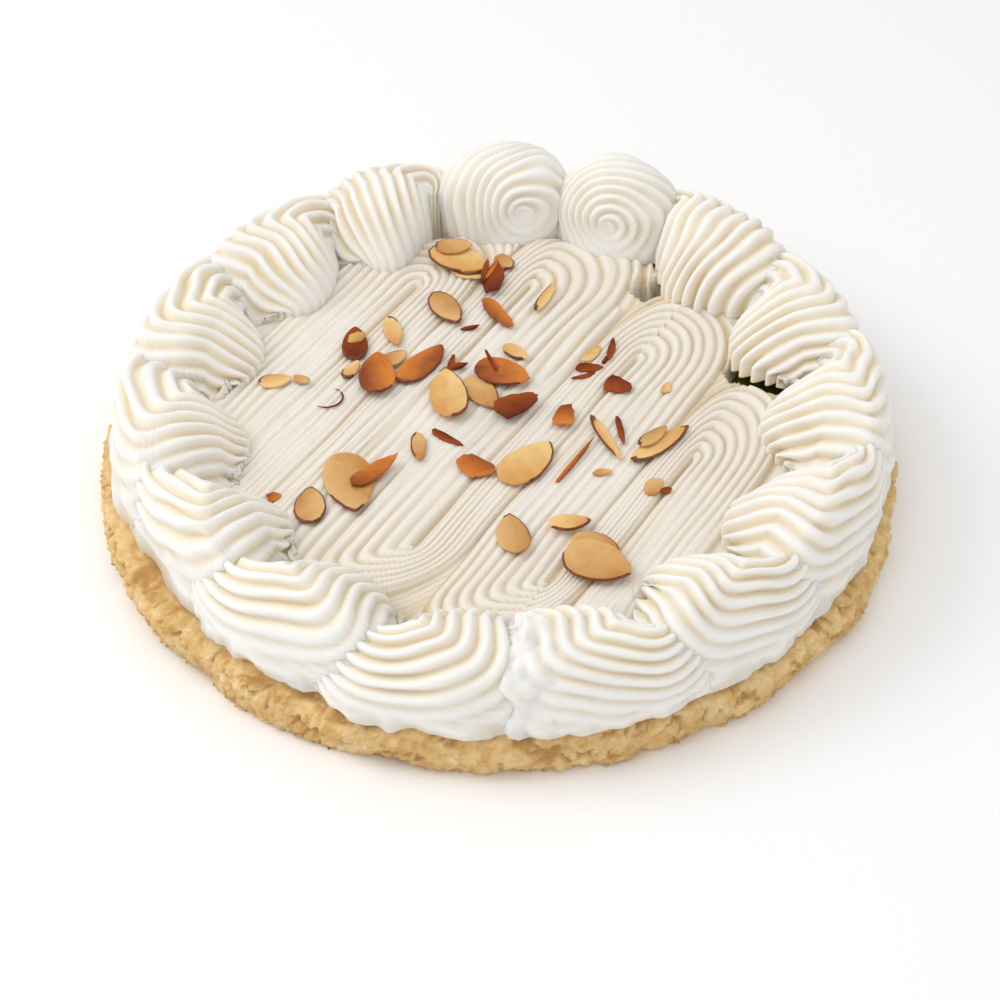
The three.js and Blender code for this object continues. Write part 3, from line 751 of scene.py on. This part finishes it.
def swirl_hump(swirl, span, u, w, reach):
    """How near a place is to the hump's outline, 1 on it, and the height of the outline beside it."""
    outward = swirl.outer - swirl.radius
    rim = HANGING_EDGE if swirl.outer > HANGING_RADIUS else RIM_EDGE
    centre = crest_radius(swirl) - swirl.radius
    side = side_share(swirl, span, u, w)
    inward = np.clip((centre - w) / (centre + reach), 0, None)
    over_rim = np.abs((w - centre) / (outward - centre)) ** HUMP_POWER
    across = np.where(w > centre, over_rim, inward ** INNER_POWER)
    near = side + across
    edge = (side * SIDE_EDGE + across * np.where(w > centre, rim, LIP)) / np.maximum(near, 1e-9)
    return near, edge


def swirl_height(swirl, span, u, w, reach):
    """Height of the smooth hump, with a pit at the focus."""
    near, edge = swirl_hump(swirl, span, u, w, reach)
    pit = SWIRL_PIT * np.exp(-(u ** 2 + w ** 2) / PIT_RADIUS ** 2)
    centre = crest_radius(swirl) - swirl.radius
    roundness = HUMP_ROUND + INNER_SLOPE * np.clip((centre - w) / (centre + reach), 0, 1)
    return edge + (swirl.top - edge) * (1 - NEARLY_EDGE * np.clip(near, 0, 1)) ** roundness - pit


def outline_distance(swirl, span, beta):
    """Distance from the focus to the hump's outline towards beta, with the inner side left open."""
    reach = np.array([OPEN_REACH])
    low, high = OUTLINE_RANGE
    for _ in range(HALVINGS):
        middle = 0.5 * (low + high)
        u = np.array([-middle * math.cos(beta)])
        w = np.array([middle * math.sin(beta)])
        if swirl_hump(swirl, span, u, w, reach)[0][0] < 1:
            low = middle
        else:
            high = middle
    return low


def swirl_rows(swirl, span):
    """Rows of (along the ring, outwards, inward reach, turn round the focus, run inwards).

    The rows go round the focus and then follow the ridges inwards to the outline.
    """
    share = np.linspace(FIRST_SHARE, 1, SWIRL_RIDGES * RIDGE_STEPS + 1)
    full = np.ones(len(share))
    reach = swirl_reach(swirl, share)
    rows = []
    back, outward, ahead = [outline_distance(swirl, span, beta) for beta in (0, math.pi / 2, math.pi)]
    for beta in np.radians(np.linspace(FAN_START, 180, FAN_STEPS)):
        lean = swirl.slant * math.sin(beta) - math.cos(beta)
        lean /= ahead if lean > 0 else back
        outline = outline_distance(swirl, span, beta)
        even = min(1 / math.hypot(lean, math.sin(beta) / outward), outline)
        far = even + (outline - even) * share ** ROUND_POWER
        u = -math.cos(beta) * far * share
        w = math.sin(beta) * far * share
        rows.append((u, w, reach, beta * full, 0 * full))
    rows += run_rows(swirl, span, rows[-1][0], share, reach)
    return [np.array(values) for values in zip(*rows)]


def run_rows(swirl, span, along, share, reach):
    """Rows that carry the ridges on from the last row round the focus to the inner outline."""
    centre = crest_radius(swirl) - swirl.radius
    curl = swirl.curl * share
    inner_end = -reach
    for _ in range(RUN_ROUNDS):
        drift = -swirl.slant * share * inner_end
        room = np.clip(1 - side_share(swirl, span, along - curl + drift, 0 * share), 0, 1)
        inner_end = np.minimum(centre - (centre + reach) * room ** (1 / INNER_POWER), -SHORTEST_RUN)
    full = np.ones(len(share))
    rows = []
    for run in np.linspace(0, 1, RUN_STEPS + 1)[1:]:
        u = along - curl * run ** 2 + drift * run
        rows.append((u, inner_end * run, reach, math.pi * full, run * full))
    return rows


def surface_normals(surface):
    """Unit normals of a grid of points, turned upwards."""
    normal = np.cross(np.gradient(surface, axis=0), np.gradient(surface, axis=1))
    normal /= np.maximum(np.linalg.norm(normal, axis=-1, keepdims=True), 1e-9)
    if normal[..., 2].mean() < 0:
        normal = -normal
    return normal


def build_swirl(swirl, direction, span, seed):
    """A swirl: the smooth hump, with ridges, swellings, teeth and a ragged skirt worked into it."""
    u, w, reach, turn, run = swirl_rows(swirl, span)
    shape = u.shape
    z = swirl_height(swirl, span, u, w, reach)
    angle = math.radians(swirl.angle) + direction * u / RING_RADIUS
    radius = swirl.radius + w
    surface = np.stack([radius * np.cos(angle), radius * np.sin(angle), z], -1)
    normal = surface_normals(surface)
    flat = surface.reshape(-1, 3)

    # Ridges evenly spaced over the surface round the focus, carried on along the runs
    steps = np.linalg.norm(np.diff(surface, axis=1, prepend=surface[:, :1]), axis=-1)
    length = np.cumsum(steps, axis=1)
    fan = np.minimum(np.arange(shape[0]), FAN_STEPS - 1)
    spread = 1 + (SPREAD - 1) * np.sin(turn) ** 2
    ridge = (length / length[:, -1:])[fan] / spread
    spacing = length[fan, -1:] * spread / SWIRL_RIDGES
    phase = SWIRL_RIDGES * ridge + undulate(seed, flat, RIDGE_WANDER).reshape(shape)
    valley = (0.5 + 0.5 * np.cos(2 * math.pi * phase)) ** GROOVE_POWER

    # Depth of the ridges: less at the focus, on the skirt, at smooth inner ends and where the end crumples
    fade = 1 - swirl.skirt * smooth_step(*SKIRT_FADE, ridge) * np.sin(turn)
    low, usual, high = RIDGE_STRENGTH
    uneven = np.clip(usual + undulate(seed + 50, flat, RIDGE_UNEVEN), low, high)
    strength = fade * uneven.reshape(shape) * smooth_step(0.0, FOCUS_SOFT, ridge)
    strength *= 1 - TONGUE * (1 - swirl.teeth) * smooth_step(*INNER_END, run)
    crumpled = smooth_step(*LUMP_START, u / span) if swirl.lumps else np.zeros_like(u)
    strength *= 1 - LUMP_SMOOTH * crumpled
    depth = np.minimum(RIDGE_DEPTH, RIDGE_SLOPE * spacing) * strength

    # Swellings and lumps, grooves, teeth and the ragged skirt
    swell = undulate(seed + 100, flat, SWELL).reshape(shape)
    lumps = undulate(seed + 150, flat, *LUMP_LAYERS, step=SEED_STEP).reshape(shape)
    swell += swirl.lumps * lumps * crumpled
    surface = surface + normal * (swell - depth * valley)[..., None]
    inward = -np.stack([np.cos(angle), np.sin(angle), np.zeros_like(angle)], -1)
    tooth = swirl.teeth * TOOTH * smooth_step(*TOOTH_RUN, swirl.radius - radius[-1])
    surface += inward * (tooth * smooth_step(*INNER_END, run) * (0.5 - valley) * strength)[..., None]
    hanging = smooth_step(*SKIRT_HANG, ridge * spread) * np.sin(turn) * swirl.skirt
    fringe = undulate(seed + 200, flat, *RAGGED_LAYERS, step=SEED_STEP).reshape(shape)
    surface -= inward * (RAGGED_SKIRT * fringe * hanging)[..., None]

    quads = np.array(grid_faces(*shape, flip=direction < 0))
    points, faces = close_below(surface.reshape(-1, 3), quads, swirl_foot)
    # Painted shade: darker and warmer in the ridge valleys, and in full on the walls and the base under the
    # swirl.
    painted_shade = np.clip(valley * strength, 0, 1)
    painted_shade = np.concatenate([painted_shade.ravel(), np.ones(len(points) - painted_shade.size)])
    make_piece(f"cream_{swirl.name}", points, faces, SWIRL_CREAM, swirl.name,
               {"painted_shade": painted_shade})


def swirl_foot(edge):
    """Foot of a swirl: into the middle at the inner ends, onto the rim outside."""
    radius = np.hypot(edge[:, 0], edge[:, 1])
    pull = np.where(radius > FOOT_RADIUS, (radius - FOOT_TUCK) / radius, 1.0)
    edge[:, 0] *= pull
    edge[:, 1] *= pull
    inside = np.where(radius < PIPING_RADIUS, np.minimum(FOOT_INSIDE, edge[:, 2] - 1), PIPING_FOOT + 0.7)
    return np.where(radius > FOOT_RADIUS, np.minimum(edge[:, 2] - GAP, FOOT_OUTSIDE), inside)


def build_swirls():
    for run, direction, end in ((LEFT_RUN, 1, LEFT_END), (RIGHT_RUN, -1, RIGHT_END)):
        for i, swirl in enumerate(run):
            following = run[i + 1].angle if i + 1 < len(run) else end
            span = RING_RADIUS * math.radians(abs(following - swirl.angle))
            build_swirl(swirl, direction, span, SWIRL_SEED + SEED_STEP * i + direction)


# Domes at the back, whose ridges wind into an eye on the side that faces the middle. Each has its angle, its
# widths to the left and right, the height of its top and how far the eye lies to the side.
Dome = namedtuple("Dome", "name angle left right top side")
DOMES = [
    Dome("swirl_01", 88, 23, 20, 51.5, -5),
    Dome("swirl_02", 67.5, 20, 21, 52, -2.5),
]
DOME_RADIUS = 99.2
DOME_ACROSS = 16.4
DOME_CENTRE = 33.0
DOME_LOW = 45.0
DOME_BASE = 14.6
EYE_RISE = 13.0
EYE_STEP = 12.0
EYE_DRIFT = 0.18
EYE_DEPTH = 1.7
EYE_PIT = 1.2
EYE_SHADE = 0.6
EYE_FLAT = (4.0, 16.0)
EYE_FADE = (95.0, 150.0)
EYE_WANDER = (0.3, 26.0)
EYE_UNEVEN = (0.2, 14.0)
EYE_BELOW = 0.85
DOME_SWELL = (0.5, 24.0)
DOME_POWER = 2.1
DOME_TURNS = 150
DOME_STEPS = 160
DOME_SEED = 460


def dome_rays(dome):
    """Unit rays in rings round the axis through the eye, with the angle from it and the turn round it."""
    axis = np.array([dome.side / DOME_ACROSS, -1.0, math.tan(math.radians(EYE_RISE))])
    axis /= np.linalg.norm(axis)
    right = np.cross([0.0, 0.0, 1.0], axis)
    right /= np.linalg.norm(right)
    up = np.cross(axis, right)
    away = np.radians(np.linspace(0, 180, DOME_STEPS + 2))[1:-1, None]
    turn = np.linspace(0, 2 * math.pi, DOME_TURNS, endpoint=False)[None, :]
    rays = (np.cos(away)[..., None] * axis + (np.sin(away) * np.cos(turn))[..., None] * right
            + (np.sin(away) * np.sin(turn))[..., None] * up)
    rays = np.vstack([axis[None, :], rays.reshape(-1, 3), -axis[None, :]])
    away = np.concatenate([[0], np.degrees(np.repeat(away, DOME_TURNS)), [180]])
    turn = np.concatenate([[0], np.tile(turn.ravel(), DOME_STEPS), [0]])
    return rays, away, turn


def build_dome(dome, seed):
    """A rounded dome, closed by a flat base."""
    rays, away, turn = dome_rays(dome)
    tall = np.where(rays[:, 2] > 0, dome.top - DOME_CENTRE, DOME_LOW)
    wide = np.where(rays[:, 0] > 0, dome.left, dome.right)
    size = np.column_stack([wide, np.full(len(rays), DOME_ACROSS), tall])
    reach = (np.abs(rays / size) ** DOME_POWER).sum(axis=1) ** (-1 / DOME_POWER)
    place = rays * reach[:, None]
    spread = 1 + EYE_DRIFT * np.cos(turn)
    phase = spread * away / EYE_STEP - turn / (2 * math.pi) + undulate(seed, place, EYE_WANDER)
    valley = (0.5 + 0.5 * np.cos(2 * math.pi * phase)) ** GROOVE_POWER
    low, usual, high = RIDGE_STRENGTH
    uneven = np.clip(usual + undulate(seed + 1, place, EYE_UNEVEN), low, high)
    strength = smooth_step(*EYE_FLAT, away) * uneven
    strength *= 1 - EYE_BELOW * smooth_step(-0.1, 0.8, -np.sin(turn))
    strength *= 1 - smooth_step(*EYE_FADE, away)
    pit = EYE_PIT * np.exp(-(away / EYE_FLAT[1]) ** 2)
    reach += undulate(seed + 2, place, DOME_SWELL) - EYE_DEPTH * valley * strength - pit
    floor = (DOME_CENTRE - DOME_BASE) / np.maximum(-rays[:, 2], 1e-6)
    place = rays * np.minimum(reach, floor)[:, None]
    x, y = turned(DOME_RADIUS + place[:, 1], place[:, 0], dome.angle)
    points = np.column_stack([x, y, place[:, 2] + DOME_CENTRE])
    faces = ball_faces(DOME_STEPS, DOME_TURNS)
    # Painted shade in the dome's ridge valleys, scaled by EYE_SHADE.
    make_piece(f"cream_{dome.name}", points, faces, SWIRL_CREAM, dome.name,
               {"painted_shade": EYE_SHADE * np.clip(valley * strength, 0, 1)})


def build_domes():
    for i, dome in enumerate(DOMES):
        build_dome(dome, DOME_SEED + SEED_STEP * i)


# Almond slices: centre x and y, length, width, angle of the long axis, look, how many pieces it lies on, and
# the arc of its outline that still has brown skin, in degrees from the far end. One with no arc is broken.
ALMONDS = [
    (-9, 68.5, 13, 10, -10, "pale", 0, (180, 330)),
    (-12.8, 70.9, 21, 13, -32, "pale", 1, (150, 300)),
    (-14.5, 75.8, 12, 8, 8, "tan", 2, (20, 200)),
    (1.8, 70, 8.5, 6, -60, "tan", 0, (-60, 120)),
    (-2, 60.5, 17, 7, 78, "skin", 1, (0, 0)),
    (0, 43.5, 17, 5.5, -58, "toasted", 0, (0, 0)),
    (-16.5, 46.5, 17.5, 9, -62, "tan", 0, (0, 360)),
    (14.5, 52.5, 16, 3.6, 66, "pale", 0, (20, 200)),
    (-44, 29, 16, 8, 92, "skin", 0, (0, 360)),
    (-32.5, 35, 14, 5.5, -78, "pale", 0, (120, 200)),
    (-32, 22, 10, 6, 35, "tan", 0, (20, 100)),
    (-44.5, 16.5, 9, 4.5, 65, "pale", 0, (90, 250)),
    (-36.5, 13.5, 19, 11, 91, "toasted", 1, (80, 240)),
    (-23.5, 19, 21.5, 9.5, 54, "toasted", 0, (150, 400)),
    (-5, 6, 16, 9, -58, "tan", 0, (0, 150)),
    (-15, 4.5, 22.5, 11.5, 97, "pale", 1, (170, 400)),
    (1, 14, 17.5, 12, -25, "toasted", 1, (180, 330)),
    (4.5, -1, 17, 9, 28, "skin", 1, (0, 0)),
    (5, 25, 9.5, 5.5, -45, "pale", 0, (230, 340)),
    (-42.5, -33.5, 25, 14.5, -78, "tan", 0, (-80, 40)),
    (-36, -30, 18, 6.5, 45, "toasted", 1, (0, 0)),
    (-53, -43, 15, 9, 92, "tan", 0, (0, 360)),
    (-67, 11.5, 10, 6, 12, "pale", 0, (90, 200)),
    (-59, 12, 5.6, 3.4, -25, "tan", 0, (0, 120)),
    (-6.6, -27, 12.4, 9, -25, "toasted", 0, (0, 0)),
    (8, -25, 22, 12.5, 50, "pale", 0, (-130, 20)),
    (3.8, -54.5, 15.5, 9.5, 100, "tan", 0, (-120, 40)),
    (19.5, -51, 12, 6.2, 5, "pale", 1, (-160, 40)),
    (26.5, -59, 14, 10, -20, "tan", 0, (0, 120)),
    (26.8, -66.5, 20, 15, -28, "tan", 1, (180, 360)),
    (46.5, -17, 23, 6.5, 41, "pale", 0, (160, 400)),
    (44.5, -15, 12, 4.6, 45, "tan", 1, (40, 200)),
    (19, -4.5, 11, 6.5, 78, "toasted", 0, (0, 0)),
    (35.3, 9.5, 10, 7.5, -30, "skin", 0, (0, 0)),
    (31, -14.5, 21, 3.4, -67, "pale", 0, (150, 330)),
    (-23.3, -18.5, 12, 4.6, -86, "tan", 0, (180, 330)),
]

# Small flakes and slivers lying in the cream
FLAKES = [
    (-14.3, 21, 8, 2.2, 80, "skin"),
    (-9, 37.5, 6, 1.8, 20, "skin"),
    (-63.5, -39, 4.5, 4, 30, "toasted"),
    (-15.5, -13.5, 12.5, 2.8, -38, "skin"),
    (28, 24.7, 9, 4.2, 50, "pale"),
    (34.2, 27, 11, 2.4, 82, "skin"),
    (27, 18.3, 9, 4.2, -3, "skin"),
    (25.5, 14.3, 8, 1.5, 20, "skin"),
    (50, 9, 5, 3, 75, "pale"),
    (21.8, -23.6, 23, 1.7, 60, "toasted"),
    (35.4, -10.3, 12.5, 2.2, -84, "skin"),
    (29.5, -28.5, 5.5, 2.8, 8, "tan"),
    (44, -34.5, 8, 6, 60, "tan"),
]
# Bits lying on the slices: place, size, angle, look, level and the slice they belong to
BITS = [
    (-2.3, 18.5, 10.5, 1.5, -70, "skin", 2, "almond_17"),
    (-9.5, 64.3, 11, 3.2, -14, "pale", 0, "almond_01"),
    (-4.6, 63.0, 13, 2.2, 82, "skin", 2, "almond_05"),
    (-2.2, 64.5, 11, 1.7, 70, "toasted", 2, "almond_05"),
    (-43.6, 31.2, 6.5, 5.0, 40, "tan", 1, "almond_09"),
    (47.2, -36.2, 4.2, 2.6, 30, "skin", 0, "cream_piping"),
    (-12.2, 19.2, 5.5, 2.6, 20, "skin", 0, "cream_piping"),
    (32.5, 22.5, 6.5, 1.6, 62, "skin", 0, "cream_piping"),
]
# A thread of almond skin lying in an arc on the cream
THREAD = {"x": -51.0, "y": 4.5, "radius": 4.6, "from": 65.0, "to": -128.0, "thick": 0.32}
THREAD_STEPS = 40
THREAD_SIDES = 8
THREAD_TOAST = 0.3

# Shape of a slice: how pointed it is, how far the skin reaches in, its rings, edge, chips and wobble
POINT = 0.4
RIM = 0.45
RINGS = (0.12, 0.35, 0.55, 0.7, 0.8, 0.87, 0.92, 0.95, 0.975, 0.99, 1.0)
SLICE_SIDES = 54
EDGE_SHARE = 0.42
CHIPS = 3
CHIP_SHARE = 0.8
SKIN_FADE = 14.0
WHOLE = 0.03
BROKEN = 0.1
NO_SKIN = (0, 0)
WOBBLES = ((0.6, 1.6), (0.5, 0.5))
CUP_RANGE = (0.4, 1.0)
FLAKE_SINK = 0.2

# Kinds of almond piece: how far it is cupped at most and the seeds of its shape and its cup
Kind = namedtuple("Kind", "cup shape_seed cup_seed")
SLICE = Kind(0.7, 500, 700)
FLAKE = Kind(0.3, 900, 950)
BIT = Kind(0.3, 1100, 1150)
SHAPE_SEED_STEP = 5


def chipped(outline, seed):
    """Break straight pieces off an outline."""
    draw = np.random.RandomState(seed)
    extent = np.abs(outline).max(axis=0)
    for turn in draw.uniform(0, 2 * math.pi, CHIPS):
        heading = np.array([math.cos(turn), math.sin(turn)]) / extent
        away = outline @ heading
        cut = np.where(away > CHIP_SHARE, CHIP_SHARE / np.maximum(away, CHIP_SHARE), 1)
        outline = outline * cut[:, None]
    return outline


def slice_mesh(length, width, seed, ragged, skin_arc):
    """A slice with rounded edges and one pointed end, lying flat with its underside at height 0."""
    turn = np.linspace(0, 2 * math.pi, SLICE_SIDES, endpoint=False)
    circle = np.column_stack([np.cos(turn), np.sin(turn)])
    wobble = 1 + ragged * undulate(seed, circle, *WOBBLES)
    half = np.sin(turn) * np.sin(turn / 2) ** POINT
    half *= (width / 2) / np.abs(half).max()
    outline = np.column_stack([(length / 2) * np.cos(turn), half]) * wobble[:, None]
    if ragged > WHOLE:
        outline = chipped(outline, seed + 2)
    low, high = skin_arc
    off = (np.degrees(turn) - low) % 360
    has_skin = smooth_step(0, SKIN_FADE, off) * smooth_step(high - low, high - low - SKIN_FADE, off)
    if high - low >= 360:
        has_skin = np.ones(SLICE_SIDES)
    edge = EDGE_SHARE * SLICE_THICK
    upper, lower, skin = [], [], []
    for ring in RINGS:
        inset = np.clip((1 - ring) * width / 2, 0, edge)
        drop = edge - math.sqrt(max(edge ** 2 - (edge - inset) ** 2, 0))
        upper.append(np.column_stack([outline * ring, np.full(SLICE_SIDES, SLICE_THICK - drop)]))
        lower.append(np.column_stack([outline * ring, np.full(SLICE_SIDES, drop)]))
        skin.append(has_skin * np.clip(1 - (1 - ring) * width / (4 * RIM), 0, 1))
    points = np.vstack([[[0, 0, SLICE_THICK]], *upper, *lower[::-1], [[0, 0, 0]]])
    skin = np.concatenate([[0], *skin, *skin[::-1], [0]])
    heading = np.random.RandomState(seed + 3).uniform(0, 2 * math.pi)
    tilt = points[:, 0] / length * math.cos(heading) + points[:, 1] / width * math.sin(heading)
    faces = ball_faces(2 * len(RINGS), SLICE_SIDES)
    return points, faces, {"skin": skin, "toast": np.clip(0.5 + tilt, 0, 1)}


def place_slice(points, x, y, angle, bottom, seed, cup):
    """A slice cupped by a chance share of cup, turned and moved to its place."""
    points = points.copy()
    bend = np.random.RandomState(seed).uniform(*CUP_RANGE) * cup
    span = np.abs(points[:, 0]).max()
    points[:, 2] += bend * (points[:, 0] / span) ** 2
    along, across = turned(points[:, 0], points[:, 1], angle)
    return np.column_stack([along + x, across + y, points[:, 2] + bottom])


def add_almond(name, node, kind, i, layout, bottom, ragged=BROKEN, arc=NO_SKIN):
    """The almond piece number i of its kind, standing for a node."""
    x, y, length, width, angle, look = layout
    points, faces, values = slice_mesh(length, width, kind.shape_seed + SHAPE_SEED_STEP * i, ragged, arc)
    placed = place_slice(points, x, y, angle, bottom, kind.cup_seed + i, kind.cup)
    make_piece(name, placed, faces, ALMOND_LOOKS[look], node, values)


def build_almonds():
    rise = SLICE_THICK + GAP
    sunk = PIPING_TOP - FLAKE_SINK
    for i, (*layout, level, arc) in enumerate(ALMONDS):
        node = f"almond_{i + 1:02d}"
        ragged = WHOLE if arc[1] > arc[0] else BROKEN
        add_almond(f"{node}_slice", node, SLICE, i, layout, PIPING_TOP + GAP + level * rise, ragged, arc)
    for i, layout in enumerate(FLAKES):
        add_almond(f"flake_{i + 1:02d}", "cream_piping", FLAKE, i, layout, sunk)
    for i, (*layout, level, node) in enumerate(BITS):
        add_almond(f"bit_{i + 1:02d}", node, BIT, i, layout, sunk + level * rise)
    build_thread()


def build_thread():
    share = np.linspace(0, 1, THREAD_STEPS)
    turn = np.radians(THREAD["from"] + (THREAD["to"] - THREAD["from"]) * share)
    thick = THREAD["thick"] * np.sqrt(np.clip(4 * share * (1 - share), 0.04, 1))
    ring = np.linspace(0, 2 * math.pi, THREAD_SIDES, endpoint=False)
    out = THREAD["radius"] + thick[:, None] * np.cos(ring)
    points = np.stack([
        THREAD["x"] + out * np.cos(turn)[:, None],
        THREAD["y"] + out * np.sin(turn)[:, None],
        PIPING_TOP + thick[:, None] * (1 + np.sin(ring)),
    ], -1).reshape(-1, 3)
    faces = grid_faces(THREAD_STEPS, THREAD_SIDES, wrap=True)
    faces.append(list(range(THREAD_SIDES)))
    faces.append(list(range(len(points) - THREAD_SIDES, len(points)))[::-1])
    make_piece("skin_thread", points, faces, ALMOND_LOOKS["skin"], "cream_piping",
               {"skin": np.zeros(len(points)), "toast": np.full(len(points), THREAD_TOAST)})


# Stage, light and camera, in metres and watts. Each lamp has its name, place, size, power and colour.
FLOOR_SIZE = 6.0
SKY_STRENGTH = 0.7
LAMPS = [
    ("key", (-0.8, 0.05, 0.85), 0.6, 4.0, (1.0, 0.99, 0.97)),
    ("fill", (-0.1, -0.35, 1.05), 0.9, 2.6, (1.0, 1.0, 1.0)),
]


def build_stage():
    bpy.ops.mesh.primitive_plane_add(size=FLOOR_SIZE)
    floor = bpy.context.object
    floor.name = "floor"
    material, tree, shader = new_material("pale_floor", roughness=0.8, specular=0.1)
    tone = ramp(tree, noise(tree, 3.0), [(0.0, (0.95, 0.95, 0.95)), (1.0, (0.97, 0.97, 0.97))])
    tree.links.new(tone, shader.inputs["Base Color"])
    floor.data.materials.append(material)


def aim(name, data, place):
    """A lamp or camera at a place, turned to the centre of the crust's underside."""
    aimed = bpy.data.objects.new(name, data)
    aimed.location = place
    aimed.rotation_euler = (-Vector(place)).to_track_quat("-Z", "Y").to_euler()
    bpy.context.scene.collection.objects.link(aimed)
    return aimed


def add_area(name, place, size, power, colour):
    light = bpy.data.lights.new(name, "AREA")
    light.size = size
    light.energy = power
    light.color = colour
    aim(name, light, place)


def build_light():
    world = bpy.data.worlds.new("studio")
    bpy.context.scene.world = world
    world.use_nodes = True
    sky = world.node_tree.nodes["Background"]
    sky.inputs["Color"].default_value = (1.0, 1.0, 1.0, 1.0)
    sky.inputs["Strength"].default_value = SKY_STRENGTH
    for lamp in LAMPS:
        add_area(*lamp)


def build_camera():
    camera = bpy.data.cameras.new("camera")
    camera.lens = CAMERA_LENS
    camera.shift_x, camera.shift_y = CAMERA_SHIFT
    up = math.radians(CAMERA_ELEVATION)
    place = Vector((0, -math.cos(up), math.sin(up))) * CAMERA_DISTANCE * MM
    bpy.context.scene.camera = aim("camera", camera, place)


def dress_filling():
    """The filling keeps its solid and gets the custard material."""
    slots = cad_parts["filling"].data.materials
    slots.clear()
    slots.append(CUSTARD_PAINTED_SHADE)


bpy.context.scene.view_settings.view_transform = "Standard"
build_crust()
dress_filling()
build_piping()
build_swirls()
build_domes()
build_almonds()
build_stage()
build_light()
build_camera()
